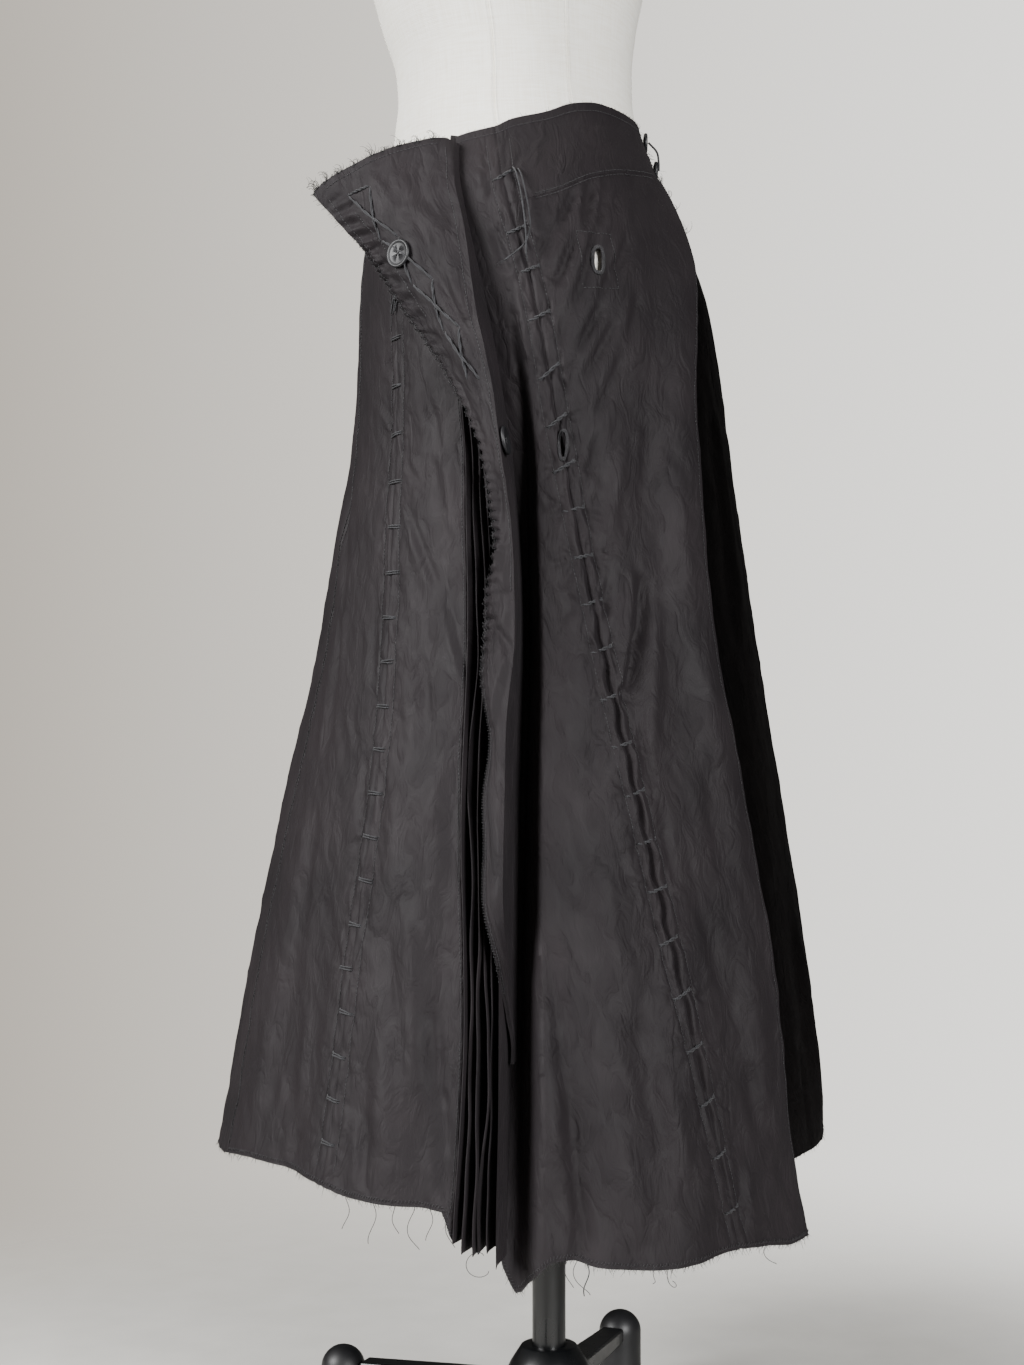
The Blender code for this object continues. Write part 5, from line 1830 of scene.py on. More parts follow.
@dataclass
class Stitching:
    """Machine stitches beside the seams, slits and edges."""

    LIFT: ClassVar[float] = 0.0002      # how far a stitch lies off the cloth
    garment: Skirt
    flap: Flap

    def line(self, angle: EdgeCurve, first: float, last: float, away: float) -> list[Array]:
        """Stitches down the skirt at a distance from a seam.

        Args:
            angle: The seam's angle at a fall.
            first: Fall at which the line starts.
            last: Fall at which it ends.
            away: Metres to the right of the seam.

        Returns:
            Routes of single stitches.
        """
        shape = self.garment.shape
        fall = np.linspace(first, last, 700)
        at = angle(fall)
        at = at + away / shape.reach(at, shape.height(at, fall, shape.front_hem))
        return dashes(self.garment.surface(at, fall, shape.front_hem, lift=self.LIFT))

    def build(self) -> bpy.types.Object:
        """Builds all the stitches in one piece.

        Returns:
            The dressed piece.
        """
        seams = self.garment.shape.seams
        shape = self.garment.shape
        routes = []
        for away in (-Relief.LEFT_LINE, Relief.LEFT_LINE):
            routes += self.line(seams["left_lace"], 0.14, 0.985, away)
        for away in (-Relief.RIGHT_LINE, Relief.RIGHT_LINE):
            routes += self.line(seams["right_lace"], 0.02, 0.99, away)
        routes += self.line(seams["pleats"], 0.20, 0.98, -0.0030)
        routes += self.line(seams["side"], 0.01, 0.99, 0.0016)
        routes += self.line(seams["side"], 0.01, 0.99, -0.0016)
        around = np.linspace(3.0, 68.0, 600)
        for below in (-0.0016, 0.0018):
            fall = shape.yoke_fall(around) + below / 0.76
            routes += dashes(self.garment.surface(around, fall, shape.front_hem, lift=self.LIFT))
        edge = np.linspace(-60.0, 80.0, 900)
        routes += dashes(self.garment.surface(edge, np.full(edge.shape, 0.008),
                                              shape.front_hem, lift=self.LIFT))
        fall = np.linspace(0.03, 0.99, 700)
        right = seams["right_edge"](fall)
        right = right - 0.0042 / shape.reach(right, shape.height(right, fall, shape.front_hem))
        routes += dashes(self.garment.surface(right, fall, shape.front_hem,
                                              node="right_front_panel", lift=self.LIFT))
        for span in (((0.012, 0.10), (0.016, 0.93)), ((0.04, 0.955), (0.94, 0.86)),
                     ((0.090, 0.823), (0.291, 0.700)), ((0.02, 0.05), (0.60, 0.10))):
            share = np.linspace(span[0][0], span[1][0], 500)
            across = np.linspace(span[0][1], span[1][1], 500)
            routes += dashes(self.flap.face(share, across, self.LIFT))
        item = tube_mesh("machine_stitches", routes, THREAD_RADIUS, sides=4)
        LOG.info("machine_stitches: %d stitches, %d triangles", len(routes),
                 2 * len(item.data.polygons))
        return finish_piece(item, THREAD)


@dataclass
class RawEdges:
    """Frayed ends along the raw edges, overlock loops and the loose threads at the hem."""

    garment: Skirt
    flap: Flap
    rng: random.Random

    def fringe(self, route: Array, aim: Array, density: float, short: float,
               long: float) -> list[Array]:
        """Fine ends of yarn along an edge.

        Args:
            route: The edge's points.
            aim: Main direction of the ends.
            density: Ends for each metre.
            short: Least length.
            long: Greatest length.

        Returns:
            One route for each end.
        """
        fine = even_route(route, 1.0 / density)
        ends = []
        for base in fine:
            run = self.rng.uniform(short, long) * self.rng.uniform(0.4, 1.0)
            lean = np.array([self.rng.uniform(-0.8, 0.8), self.rng.uniform(-0.5, 0.5),
                             self.rng.uniform(-0.3, 0.3)])
            way = np.asarray(aim) + lean
            bend = np.array([self.rng.uniform(-0.5, 0.5), self.rng.uniform(-0.3, 0.3),
                             self.rng.uniform(-0.6, 0.1)])
            start = base - np.asarray(aim) * 0.0008
            ends.append(np.array([start, start + way * run * 0.5,
                                  start + way * run + bend * run * 0.5]))
        return ends

    def overlock(self, route: Array, out: Array, pitch: float, radius: float) -> list[Array]:
        """Loops of thread wound over an edge.

        Args:
            route: The edge's points.
            out: Direction out of the cloth.
            pitch: Distance between two loops.
            radius: Half the loops' height.

        Returns:
            One long route.
        """
        per_turn = 7
        fine = even_route(route, pitch / per_turn)
        ahead = unit(np.gradient(fine, axis=0))
        side = unit(np.cross(ahead, np.broadcast_to(np.asarray(out, float), fine.shape)))
        facing = np.cross(side, ahead)
        turn = 2.0 * np.pi * np.arange(len(fine)) / per_turn
        uneven = 1.0 + 0.25 * np.sin(np.arange(len(fine)) * 0.37)
        return [fine + radius * uneven[:, None] * (np.cos(turn)[:, None] * side
                                                   + 0.55 * np.sin(turn)[:, None] * facing)]

    def build(self) -> None:
        """Builds the fringes, the overlock and the loose threads."""
        grids = self.garment.grids
        share = np.linspace(0.0, 1.0, 400)
        flap_top = self.flap.face(np.zeros(200), np.linspace(0.04, 1.0, 200))
        ends = self.fringe(flap_top, (0.1, -0.1, 1.0), 1700.0, 0.0015, 0.0055)
        flap_edge = self.flap.face(np.linspace(0.0, 0.16, 200), np.full(200, 1.0))
        ends += self.fringe(flap_edge, (-0.7, 0.0, -0.5), 900.0, 0.001, 0.004)
        for node, density, reach in (("left_back_panel", 500.0, 0.004),
                                     ("left_side_panel", 900.0, 0.005),
                                     ("left_front_panel", 900.0, 0.005),
                                     ("centre_front_panel", 1100.0, 0.006),
                                     ("right_front_panel", 1100.0, 0.006),
                                     ("right_back_panel", 500.0, 0.004)):
            ends += self.fringe(grids[node][-1], (0.0, 0.0, -1.0), density, 0.001, reach)
        for node in ("left_side_panel", "left_front_panel", "centre_front_panel",
                     "right_hip_yoke", "left_back_panel", "right_back_panel"):
            ends += self.fringe(grids[node][0], (0.0, 0.0, 1.0), 700.0, 0.001, 0.0035)
        back_edge = grids["right_back_panel"][:14, 0]
        ends += self.fringe(back_edge, (0.8, -0.2, -0.3), 1600.0, 0.002, 0.008)
        item = tube_mesh("frayed_edges", ends, YARN_RADIUS, sides=3, taper=True)
        finish_piece(item, RAW_THREAD)
        self.tufts(flap_top)
        self.closure()
        LOG.info("frayed_edges: %d ends", len(ends))
        loops = self.overlock(self.flap.face(share * 0.80 + 0.14, np.full(400, 0.99)),
                              (0.4, -0.9, 0.0), 0.0019, 0.0012)
        for node in ("left_side_panel", "left_front_panel", "centre_front_panel",
                     "right_front_panel"):
            loops += self.overlock(grids[node][-2] + np.array([0.0, 0.0, 0.0004]),
                                   (0.3, -1.0, 0.0), 0.0022, 0.0010)
        item = tube_mesh("overlocked_edges", loops, OVERLOCK_RADIUS, sides=3)
        finish_piece(item, THREAD)
        LOG.info("overlocked_edges: %d triangles", 2 * len(item.data.polygons))
        self.loose_threads()

    def closure(self) -> None:
        """The cord that links the two back buttons, and the frayed edge below them."""
        upper, lower = (sum((Vector(corner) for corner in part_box(node)), Vector()) / 2.0
                        for node in ("back_button_upper", "back_button_lower"))
        away = np.array([0.0030, -0.0020, 0.0])
        link = curved_route([np.array(upper) + away * 0.8, np.array(upper.lerp(lower, 0.35))
                             + away * 1.9, np.array(upper.lerp(lower, 0.7)) + away * 1.5,
                             np.array(lower) + away * 0.8], 8)
        finish_piece(tube_mesh("back_closure_link", [link], LINK_RADIUS, sides=8), CORD)
        height = np.linspace(0.952, 0.909, 40)
        edge = self.garment.shape.point(87.0, height, 0.0008)
        self.tufts(edge, "back_closure_frays")

    def tufts(self, edge: Array, name: str = "frayed_tufts") -> None:
        """Curled clumps of yarn along a raw edge.

        Args:
            edge: Points of the edge.
            name: The piece's name.
        """
        routes = []
        for at, size in ((0.10, 0.9), (0.22, 0.6), (0.34, 1.0), (0.46, 0.6), (0.55, 1.1),
                         (0.68, 0.8), (0.80, 0.9), (0.90, 1.2), (0.97, 1.3), (1.0, 1.0)):
            base = edge[int(at * (len(edge) - 1))]
            for _yarn in range(7):
                along = np.linspace(0.0, 1.0, 12)
                run = size * self.rng.uniform(0.003, 0.007)
                curl = size * self.rng.uniform(0.0008, 0.0020)
                turns = self.rng.uniform(3.0, 8.0)
                phase = self.rng.uniform(0.0, 6.28)
                lean = self.rng.uniform(-0.9, 0.9)
                x = run * lean * along + curl * (np.cos(turns * along + phase) - math.cos(phase))
                z = run * along * 0.9 + curl * (np.sin(turns * along + phase) - math.sin(phase))
                y = -0.0008 + self.rng.uniform(-0.0015, 0.0015) * along
                routes.append(base + np.stack([x, y, z - 0.0006], axis=1))
        finish_piece(tube_mesh(name, routes, THREAD_RADIUS, sides=4, taper=True), RAW_THREAD)

    def loose_threads(self) -> None:
        """Threads that hang from the hem, three of them curled."""
        shape = self.garment.shape
        routes = []
        for angle, height, run, thick, curl in (
                (-30.3, 0.245, 0.020, 1.0, 0.0), (-25.1, 0.245, 0.026, 1.0, 0.0),
                (-21.6, 0.245, 0.018, 1.0, 0.0), (-18.9, 0.244, 0.030, 1.0, 0.2),
                (-15.5, 0.244, 0.020, 1.0, 0.0), (-12.7, 0.243, 0.022, 1.0, 0.0),
                (-6.6, 0.218, 0.022, 1.2, 1.0), (6.8, 0.216, 0.018, 1.0, 0.0),
                (8.7, 0.214, 0.024, 1.0, 0.2), (10.3, 0.212, 0.020, 2.2, 0.0),
                (21.9, 0.207, 0.012, 1.0, 0.2), (25.7, 0.205, 0.020, 1.3, 1.0),
                (45.5, 0.205, 0.016, 1.0, 0.3)):
            root = shape.point(angle, height + 0.001, shape.drape(np.array(angle),
                                                                  np.array(1.0)))
            along = np.linspace(0.0, 1.0, 26)
            sway = self.rng.uniform(-0.3, 0.3)
            x = run * (sway * along + 0.10 * np.sin(along * 5.0 + sway * 9.0)) \
                + curl * 0.0045 * (np.cos(along * 7.0) - 1.0)
            z = -run * along * (1.0 - 0.45 * curl) + curl * 0.0045 * np.sin(along * 7.0)
            route = root + np.stack([x, -0.001 - 0.002 * along, z], axis=1)
            for ply in range(2 if thick > 2.0 else 1):
                routes.append(route + ply * np.array([0.0003, 0.0, 0.0]))
        item = tube_mesh("loose_hem_threads", routes, LOOSE_RADIUS, sides=5)
        finish_piece(item, THREAD)
        LOG.info("loose_hem_threads: %d", len(routes))


@dataclass
class Buttonholes:
    """The open buttonhole in its stitched square and the one on the laced slit."""

    garment: Skirt
    half_width: float = 0.0027
    half_length: float = 0.0085
    lean: float = 0.22          # tilt of the open hole, in radians, its top to the right

    def spot(self, centre: tuple[float, float], x: Array, z: Array,
             lift: float = 0.0003) -> Array:
        """Points on the cloth at distances from a buttonhole's middle.

        Args:
            centre: Angle and height of the middle.
            x: Metres to the right.
            z: Metres upward.
            lift: Distance off the cloth.

        Returns:
            Points in the frame.
        """
        shape = self.garment.shape
        angle = centre[0] + np.asarray(x) / float(shape.reach(centre[0], centre[1]))
        top = shape.top(angle)
        fall = (top - (centre[1] + np.asarray(z))) / (top - shape.front_hem(angle))
        return self.garment.surface(angle, fall, shape.front_hem, lift=lift)

    @staticmethod
    def oval(half_width: float, half_length: float, lean: float,
             count: int) -> tuple[Array, Array]:
        """Points round a leaning oval with straight sides.

        Args:
            half_width: Half its width.
            half_length: Half its length.
            lean: Its tilt in radians, the top to the right.
            count: How many points.

        Returns:
            Metres to the right and metres upward.
        """
        turn = np.linspace(0.0, 2.0 * np.pi, count)
        x = half_width * np.sign(np.cos(turn)) * np.abs(np.cos(turn)) ** 0.7
        z = half_length * np.sin(turn)
        return (x * math.cos(lean) + z * math.sin(lean), z * math.cos(lean) - x * math.sin(lean))

    def cut(self, cloth: bpy.types.Object) -> None:
        """Cuts the open hole through the cloth.

        Args:
            cloth: The panel that it is cut in.
        """
        x, z = self.oval(self.half_width, self.half_length, self.lean, 41)
        front = self.spot(OPEN_HOLE, x[:-1], z[:-1], 0.006)
        back = self.spot(OPEN_HOLE, x[:-1], z[:-1], -0.008)
        count = len(front)
        sides = [(i, (i + 1) % count, (i + 1) % count + count, i + count) for i in range(count)]
        cutter = link_mesh("hole", np.concatenate([front, back]),
                           [tuple(reversed(range(count))), tuple(range(count, 2 * count)), *sides])
        select_only(cutter)
        bpy.ops.object.mode_set(mode="EDIT")
        bpy.ops.mesh.select_all(action="SELECT")
        bpy.ops.mesh.normals_make_consistent(inside=False)
        bpy.ops.object.mode_set(mode="OBJECT")
        cut_away(cloth, cutter)

    def build(self) -> None:
        """Builds the purl stitches round both holes and the square round the open one."""
        routes = []
        for centre, wide, long, lean in ((OPEN_HOLE, self.half_width, self.half_length, self.lean),
                                         (SECOND_HOLE, 0.0016, 0.0086, 0.06)):
            for grow, phase in ((0.0007, 0.0), (0.0014, 1.6)):
                x, z = self.oval(wide + grow, long + grow, lean, 420)
                turn = np.arange(420) * (2.0 * np.pi / 7.0) + phase
                swing = 0.0008 * np.cos(turn)
                size = np.maximum(np.hypot(x, z), 1e-6)
                edge = self.spot(centre, x + swing * x / size, z + swing * z / size, 0.0008)
                edge[:, 1] -= 0.0005 * np.sin(turn)
                if centre is SECOND_HOLE:
                    edge[:, 1] = np.minimum(edge[:, 1], np.median(edge[:, 1]) - 0.0004)
                routes.append(edge)
        purl = tube_mesh("buttonhole_purl", routes, PURL_RADIUS, sides=5)
        finish_piece(purl, THREAD)
        square = []
        corners = ((-0.0135, -0.0200), (0.0125, -0.0190), (0.0140, 0.0195), (-0.0125, 0.0200),
                   (-0.0135, -0.0200))
        for first, last in zip(corners, corners[1:]):
            x = np.linspace(first[0], last[0], 90)
            z = np.linspace(first[1], last[1], 90)
            square += dashes(self.spot(OPEN_HOLE, x, z, 0.0002))
        finish_piece(tube_mesh("buttonhole_square", square, THREAD_RADIUS, sides=4), THREAD)
        LOG.info("buttonholes: %d stitches round the open one", len(square))


# ---- Buttons ----
def spin_profile(name: str, profile: Sequence[tuple[float, float]], steps: int,
                 smooth_degrees: float = 35.0) -> bpy.types.Object:
    """A closed turned piece round the vertical axis through the origin.

    Args:
        name: The piece's name.
        profile: Radius and height of each point, from the bottom to the top.
        steps: Faces round it.
        smooth_degrees: Edges sharper than this stay sharp.

    Returns:
        The object.
    """
    rows = [(0.0, profile[0][1]), *profile, (0.0, profile[-1][1])]
    mesh = bpy.data.meshes.new(name)
    mesh.from_pydata([(radius, 0.0, height) for radius, height in rows],
                     [(index, index + 1) for index in range(len(rows) - 1)], [])
    item = bpy.data.objects.new(name, mesh)
    bpy.context.scene.collection.objects.link(item)
    select_only(item)
    bpy.ops.object.mode_set(mode="EDIT")
    bpy.ops.mesh.select_all(action="SELECT")
    bpy.ops.mesh.spin(steps=steps, angle=2.0 * math.pi, center=(0.0, 0.0, 0.0),
                      axis=(0.0, 0.0, 1.0))
    bpy.ops.mesh.select_all(action="SELECT")
    bpy.ops.mesh.remove_doubles(threshold=0.000002)
    bpy.ops.mesh.normals_make_consistent(inside=False)
    bpy.ops.object.mode_set(mode="OBJECT")
    item.data.shade_smooth()
    bpy.ops.object.shade_smooth_by_angle(angle=math.radians(smooth_degrees))
    return item


@dataclass
class FourHoleButton:
    """A four-hole button with a raised rim, sewn on with crossed thread."""

    RIM: ClassVar[float] = 0.0016           # width of the raised rim
    WELL: ClassVar[float] = 0.0009          # how deep the middle lies below the rim
    HOLE: ClassVar[float] = 0.0008          # radius of a thread hole
    HOLE_PLACE: ClassVar[float] = 0.0017    # its distance from the button's middle
    node: str
    radius: float
    outward: Array
    height: float = 0.003

    def build(self) -> None:
        """Builds the button and its thread where its solid stands."""
        rim = self.RIM
        well = self.height - self.WELL
        profile = [(self.radius * 0.55, 0.0), (self.radius * 0.90, 0.0005),
                   (self.radius * 0.985, self.height * 0.35),
                   (self.radius, self.height * 0.55), (self.radius * 0.98, self.height * 0.85),
                   (self.radius - rim * 0.5, self.height), (self.radius - rim, self.height * 0.97),
                   (self.radius - rim * 1.5, well + 0.0002), (self.radius - rim * 1.9, well)]
        item = spin_profile(self.node + "_disc", profile, 48, 50.0)
        for quarter in range(4):
            turn = math.radians(45.0 + 90.0 * quarter)
            hole = spin_profile("hole", [(self.HOLE, -0.002), (self.HOLE, 0.005)], 16)
            hole.location = (self.HOLE_PLACE * math.cos(turn), self.HOLE_PLACE * math.sin(turn),
                             0.0)
            cut_away(item, hole)
        strands = []
        for start, end in ((45.0, 225.0), (135.0, 315.0), (47.0, 223.0), (133.0, 317.0)):
            along = np.linspace(0.0, 1.0, 9)
            ends = np.array([[self.HOLE_PLACE * math.cos(math.radians(at)),
                              self.HOLE_PLACE * math.sin(math.radians(at)), well - 0.0012]
                             for at in (start, end)])
            line = ends[0] + (ends[1] - ends[0]) * along[:, None]
            line[:, 2] += 0.0017 * np.sin(np.pi * along) ** 0.5
            strands.append(line)
        thread = tube_mesh(self.node + "_thread", strands, THREAD_RADIUS, sides=6)
        low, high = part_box(self.node)
        centre = (Vector(low) + Vector(high)) / 2.0
        way = Vector(self.outward).normalized()
        turned = way.to_track_quat("Z", "X").to_matrix().to_4x4()
        place = Matrix.Translation(centre - way * self.height / 2.0) @ turned
        for piece in (item, thread):
            piece.data.transform(place)
        finish_piece(item, RESIN, self.node)
        finish_piece(thread, THREAD)
        LOG.info("%s: radius %.1f mm", item.name, self.radius * 1000.0)


FLAP_BUTTON = 0.010     # radius of the flap's buttons
BACK_BUTTON = 0.0075    # radius of the back closure's


def build_buttons(garment: Skirt, flap: Flap) -> None:
    """Builds the two buttons of the flap and the two of the back closure.

    Args:
        garment: The skirt.
        flap: Its flap.
    """
    share, across = np.array(0.205), np.array(0.630)
    step = 0.01
    down = flap.face(share + step, across) - flap.face(share - step, across)
    aside = flap.face(share, across + step) - flap.face(share, across - step)
    face_way = np.cross(aside, down)
    if face_way[1] > 0.0:
        face_way = -face_way
    FourHoleButton("flap_button_upper", FLAP_BUTTON, face_way).build()
    share = np.array(0.431)
    strip = flap.sewn(share) - flap.fold(share)
    length = flap.fold(share + step) - flap.fold(share - step)
    return_way = np.cross(length, strip)
    low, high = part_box("flap_button_lower")
    size = np.array(high) - np.array(low)
    if size[0] < size[1] and return_way[0] < 0.0:
        return_way = -return_way
    FourHoleButton("flap_button_lower", FLAP_BUTTON, return_way).build()
    for node, angle, height in (("back_button_upper", 90.0, 0.9795),
                                ("back_button_lower", 91.0, 0.9585)):
        FourHoleButton(node, BACK_BUTTON, garment.shape.outward(angle, height)).build()


# ---- Dress form and stand ----
@dataclass
class DressForm:
    """The linen-covered body, its sewn seams and the neck's wooden cap."""

    SEAM_STITCH_GAP: ClassVar[float] = 0.0014
    DEGREE: ClassVar[float] = 0.0022        # about how long one degree is on the body
    UV_DEGREE: ClassVar[float] = 0.0024
    GROOVE: ClassVar[float] = 0.0010        # depth of a sewn seam
    RIDGE: ClassVar[float] = 0.0004         # height of the cloth raised beside it
    pole: Array
    sides: int = 144
    ring_step: float = 0.006
    seam_angles: tuple = (-90.0, -10.0, 25.0, 90.0, 155.0, -170.0)

    def ring(self, height: Array, turn: Array, outward: Array | float = 0.0) -> Array:
        """Points of the body at heights and angles, moved outward.

        Args:
            height: Heights in metres.
            turn: Angles in degrees, 0 facing the viewer.
            outward: Distance off the body.

        Returns:
            Points in the frame.
        """
        height, turn, outward = np.broadcast_arrays(height, turn, outward)
        front, back, half_width, square = (Curve(FORM_SECTIONS, column)(height)
                                           for column in (1, 2, 3, 4))
        ahead = np.sin(np.radians(turn))
        across = -np.cos(np.radians(turn))
        half_length = (back - front) / 2.0
        x = (front + back) / 2.0 + half_length * np.sign(ahead) * np.abs(ahead) ** (2.0 / square)
        y = half_width * np.sign(across) * np.abs(across) ** (2.0 / square)
        way_x = ahead / half_length
        way_y = across / half_width
        size = np.hypot(way_x, way_y)
        return np.stack([x + way_x / size * outward, y + way_y / size * outward, height],
                        axis=-1) + self.pole

    def build(self) -> None:
        """Builds the body, its seam stitches and the cap."""
        bottom = FORM_SECTIONS[0][0]
        top = FORM_SECTIONS[-1][0]
        height = np.arange(bottom, top, self.ring_step)
        height = np.append(height, top)
        even = np.linspace(-180.0, 180.0, self.sides + 1)[:-1]
        near = np.array([-1.6, -0.8, -0.35, 0.0, 0.35, 0.8, 1.6])
        turn = np.unique(np.concatenate([even] + [at + near for at in self.seam_angles]))
        turn = turn[(turn >= -180.0) & (turn < 180.0)]
        columns, rows = np.meshgrid(turn, height)
        groove = np.zeros(columns.shape)
        for at in self.seam_angles:
            away = (columns - at) * self.DEGREE
            groove -= self.GROOVE * bell(away, 0.0008)
            groove += self.RIDGE * bell(np.abs(away) - 0.0022, 0.0012)
        groove *= ease((top - rows) / 0.01) * ease((rows - bottom) / 0.01)
        grid = self.ring(rows, columns, groove)
        count = len(turn)
        rings = len(height)
        index = np.arange(rings * count).reshape(rings, count)
        right = np.roll(index, -1, axis=1)
        faces = np.stack([index[:-1], right[:-1], right[1:], index[1:]], axis=-1).reshape(-1, 4)
        around = np.append(turn, turn[0] + 360.0) * self.UV_DEGREE
        u_left = np.tile(around[:-1], rings - 1)
        u_right = np.tile(around[1:], rings - 1)
        v_low = np.repeat(height[:-1], count)
        v_high = np.repeat(height[1:], count)
        corner_uv = np.stack([np.stack([u_left, v_low], -1), np.stack([u_right, v_low], -1),
                              np.stack([u_right, v_high], -1), np.stack([u_left, v_high], -1)],
                             axis=1).reshape(-1, 2)
        ends = [tuple(reversed(index[0].tolist())), tuple(index[-1].tolist())]
        corner_uv = np.concatenate([corner_uv, np.zeros((2 * count, 2))])
        item = link_mesh("linen_body", grid.reshape(-1, 3), [*faces.tolist(), *ends], corner_uv)
        select_only(item)
        bpy.ops.object.shade_smooth_by_angle(angle=math.radians(50.0))
        finish_piece(item, LINEN, "form_torso")
        routes = []
        for at in self.seam_angles:
            for side in (-1.15, 1.15):
                line = np.arange(0.965, top - 0.004, 0.002)
                routes += dashes(self.ring(line, np.full(line.shape, at + side), 0.0004),
                                 self.SEAM_STITCH_GAP)
        seams = tube_mesh("linen_seam_stitches", routes, LINEN_THREAD_RADIUS, sides=3)
        finish_piece(seams, LINEN)
        cap = spin_profile("turned_neck_cap", [
            (0.050, 1.5003), (0.0525, 1.5012), (0.053, 1.5033), (0.053, 1.5105),
            (0.0518, 1.5128), (0.0490, 1.5140), (0.045, 1.5143)], 96)
        cap.data.transform(Matrix.Translation(Vector(self.pole)))
        finish_piece(cap, BEECH, "form_neck_cap")
        LOG.info("linen_body: %d triangles", 2 * len(item.data.polygons))


@dataclass
class Stand:
    """The pole with its flange, the hub, four legs and their hooded feet."""

    FIRST_LEG: ClassVar[float] = 69.0       # degrees of the first leg from +X
    FOOT_REACH: ClassVar[float] = 0.170     # a foot's distance from the pole's axis
    FOOT_RADIUS: ClassVar[float] = 0.017
    FOOT_SHOULDER: ClassVar[float] = 0.045  # height at which a foot's dome starts
    pole: Array
    legs: int = 4

    def build(self) -> None:
        """Builds the turned pieces and coats the legs."""
        base = Matrix.Translation(Vector(self.pole))
        pole = spin_profile("steel_pole", [
            (0.0125, 0.0503), (0.0125, 0.7227), (0.0150, 0.7240), (0.0250, 0.7282),
            (0.0440, 0.7303), (0.0450, 0.7312), (0.0450, 0.7340), (0.0444, 0.7347)], 64)
        hub = spin_profile("steel_hub", [
            (0.0325, 0.0360), (0.0340, 0.0372), (0.0340, 0.0570), (0.0328, 0.0590),
            (0.0289, 0.0672), (0.0210, 0.0794), (0.0198, 0.0800), (0.0130, 0.0800),
            (0.0128, 0.0504)], 64)
        for item, node in ((pole, "stand_pole"), (hub, "stand_hub")):
            item.data.transform(base)
            finish_piece(item, STEEL, node)
        for number in range(self.legs):
            leg = bpy.data.objects[f"stand_leg_{number + 1}"]
            for slot in leg.material_slots:
                slot.material = STEEL.material()
            turn = math.radians(self.FIRST_LEG + 360.0 / self.legs * number)
            dome = [(0.0148, 0.0), (0.0152, 0.0006), (0.0165, 0.0038), (0.0170, 0.0044)]
            dome += [(self.FOOT_RADIUS * math.cos(math.pi / 24.0 * step),
                      self.FOOT_SHOULDER + self.FOOT_RADIUS * math.sin(math.pi / 24.0 * step))
                     for step in range(12)]
            foot = spin_profile(f"nylon_foot_{number + 1}", dome, 48)
            foot.data.transform(base @ Matrix.Translation(
                (self.FOOT_REACH * math.cos(turn), self.FOOT_REACH * math.sin(turn), 0.0)))
            finish_piece(foot, NYLON, f"stand_foot_{number + 1}")
        LOG.info("stand: pole, hub and %d legs", self.legs)


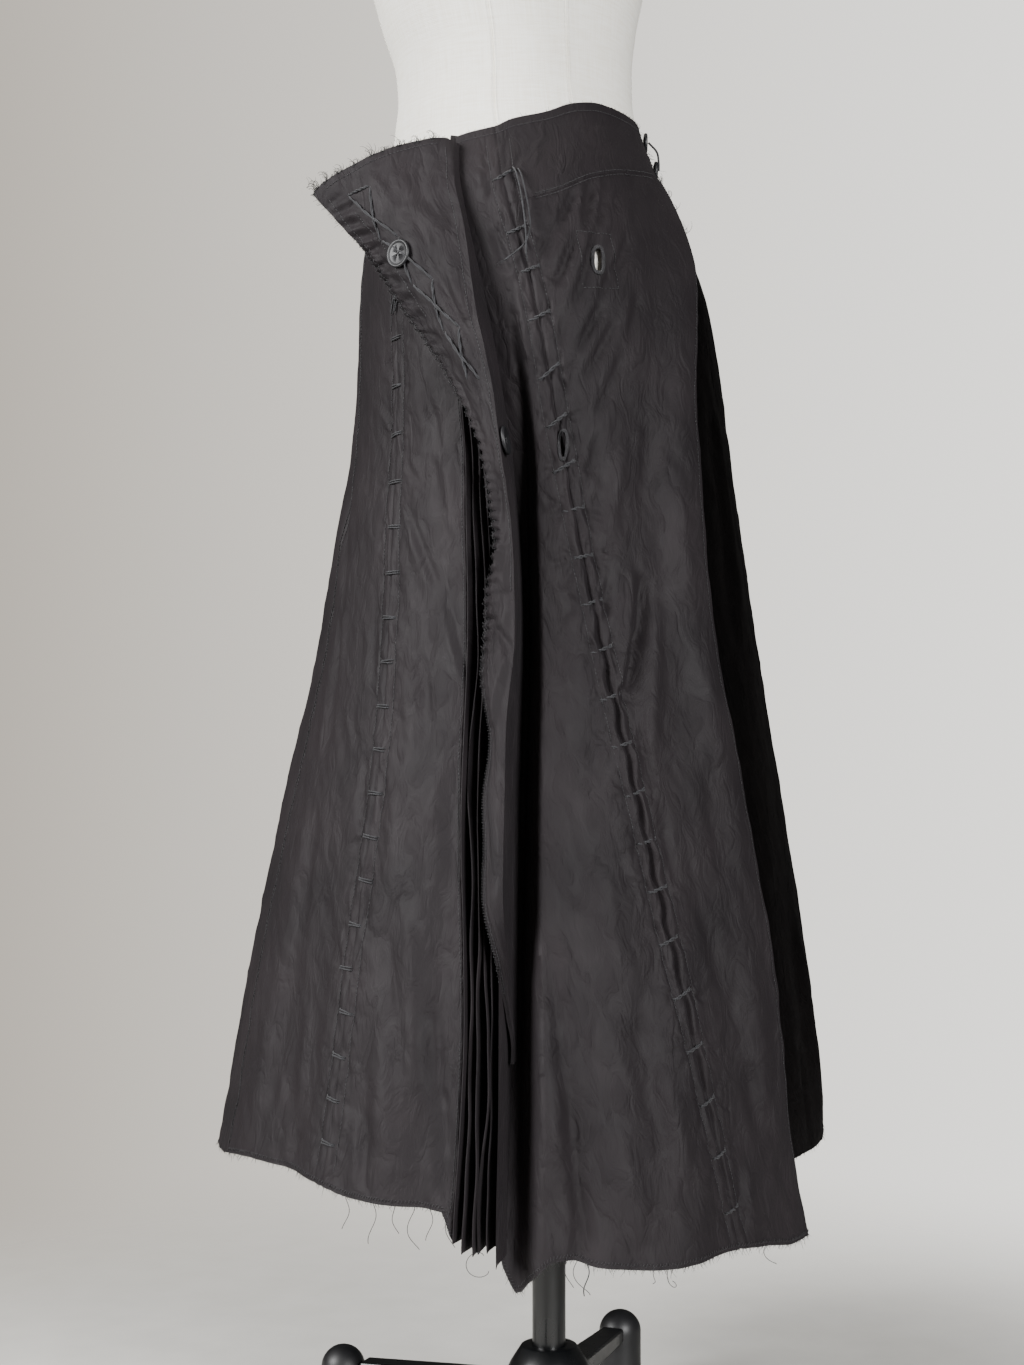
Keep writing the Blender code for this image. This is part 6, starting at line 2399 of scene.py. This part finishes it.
# ---- Studio ----
@dataclass
class Studio:
    """The camera of the photograph, a pale floor, a soft key from the left and a soft fill."""

    pole: Array
    eye: tuple[float, float, float] = (-0.0277, -1.7, 0.576)    # from the pole's axis
    lens: float = 59.79
    floor_radius: float = 1.6

    def build(self) -> None:
        """Sets up the camera, lights, surroundings and floor."""
        data = bpy.data.cameras.new("studio_camera")
        data.lens = self.lens
        data.sensor_width = 36.0
        data.clip_start = 0.05
        data.clip_end = 60.0
        camera = bpy.data.objects.new("studio_camera", data)
        bpy.context.scene.collection.objects.link(camera)
        camera.location = Vector(self.eye) + Vector(self.pole)
        camera.rotation_euler = (math.radians(90.0), 0.0, 0.0)
        bpy.context.scene.camera = camera
        self.light("key_softbox", (-2.6, -1.35, 1.8), (0.0, 0.0, 0.85), 1.5, 215.0)
        fill = self.light("fill_softbox", (1.55, -2.85, 1.3), (0.0, 0.0, 0.7), 1.2, 170.0)
        self.shade(fill, "right_back_panel_cloth")
        self.surroundings()
        self.floor()

    def light(self, name: str, place: Sequence[float], aim: Sequence[float], size: float,
              power: float) -> bpy.types.Object:
        """A square soft light that faces a point.

        Args:
            name: The light's name.
            place: Where it stands.
            aim: What it faces.
            size: Side of the square in metres.
            power: Power in watts.

        Returns:
            The light.
        """
        data = bpy.data.lights.new(name, "AREA")
        data.size = size
        data.energy = power
        lamp = bpy.data.objects.new(name, data)
        bpy.context.scene.collection.objects.link(lamp)
        lamp.location = place
        way = Vector(aim) - Vector(place)
        lamp.rotation_euler = way.to_track_quat("-Z", "Y").to_euler()
        return lamp

    def shade(self, lamp: bpy.types.Object, *names: str) -> None:
        """Keeps a light off some pieces, which lie in the shade in the photograph.

        Args:
            lamp: The light.
            *names: The pieces that it doesn't reach.
        """
        shaded = bpy.data.collections.new(lamp.name + "_reach")
        for name in names:
            shaded.objects.link(bpy.data.objects[name])
        lamp.light_linking.receiver_collection = shaded
        for reached in shaded.collection_objects:
            reached.light_linking.link_state = "EXCLUDE"

    def surroundings(self) -> None:
        """Pale all round, a little darker to the left as painted shade, brighter where it shows
        than as light.
        """
        world = bpy.data.worlds.new("pale_studio")
        world.use_nodes = True
        bpy.context.scene.world = world
        tree = world.node_tree
        tree.nodes.clear()
        way = add_node(tree, "TexCoord").outputs["Generated"]
        parts = add_node(tree, "SeparateXYZ", None, {"Vector": way})
        across = remap(tree, parts.outputs[0], (-0.25, 0.25))
        # painted shade: the backdrop seen by the camera darkens to the left; the same colours tint
        # the world's light
        pale = colour_ramp(tree, across, ("#9a9389", "#f6f4ef"))
        seen = add_node(tree, "Background", None, {"Color": pale, "Strength": 1.9})
        facing = add_node(tree, "VectorMath", {"operation": "DOT_PRODUCT"},
                          {0: way, 1: (-0.85, -0.50, 0.15)})
        gain = remap(tree, facing.outputs["Value"], (0.0, 0.95), (0.08, 0.60), smooth=True)
        light = add_node(tree, "Background", None, {"Color": pale, "Strength": gain})
        path = add_node(tree, "LightPath")
        mix = add_node(tree, "MixShader", None, {0: path.outputs["Is Camera Ray"],
                                                 1: light.outputs[0], 2: seen.outputs[0]})
        add_node(tree, "OutputWorld", None, {"Surface": mix.outputs[0]})

    def floor(self) -> None:
        """A round pale floor that fades out at its rim."""
        bpy.ops.mesh.primitive_circle_add(vertices=96, radius=self.floor_radius, fill_type="NGON",
                                          location=(0.0, 0.0, 0.0))
        floor = bpy.context.active_object
        floor.name = "studio_floor"
        material = PLASTER.material()
        tree = material.node_tree
        shader = tree.nodes["Principled BSDF"]
        place = add_node(tree, "TexCoord").outputs["Object"]
        distance = add_node(tree, "VectorMath", {"operation": "LENGTH"}, {0: place})
        fade = remap(tree, distance.outputs["Value"], (0.30, 1.1), (1.0, 0.0), smooth=True)
        feed(tree, shader, {"Alpha": fade})
        floor.data.materials.append(material)


def main() -> None:
    """Builds the garment, its trimmings, the form with its stand, and the studio."""
    logging.basicConfig(level=logging.INFO, format="%(name)s: %(message)s")
    shape = SkirtShape()
    garment = Skirt(shape)
    garment.build()
    PleatStack().build(garment)
    flap = Flap(garment)
    flap.build()
    Lacing(garment).build()
    FlapLacing(flap).build()
    Stitching(garment, flap).build()
    Buttonholes(garment).build()
    RawEdges(garment, flap, random.Random(21)).build()
    build_buttons(garment, flap)
    DressForm(shape.pole).build()
    Stand(shape.pole).build()
    Studio(shape.pole).build()


if __name__ == "__main__":
    main()
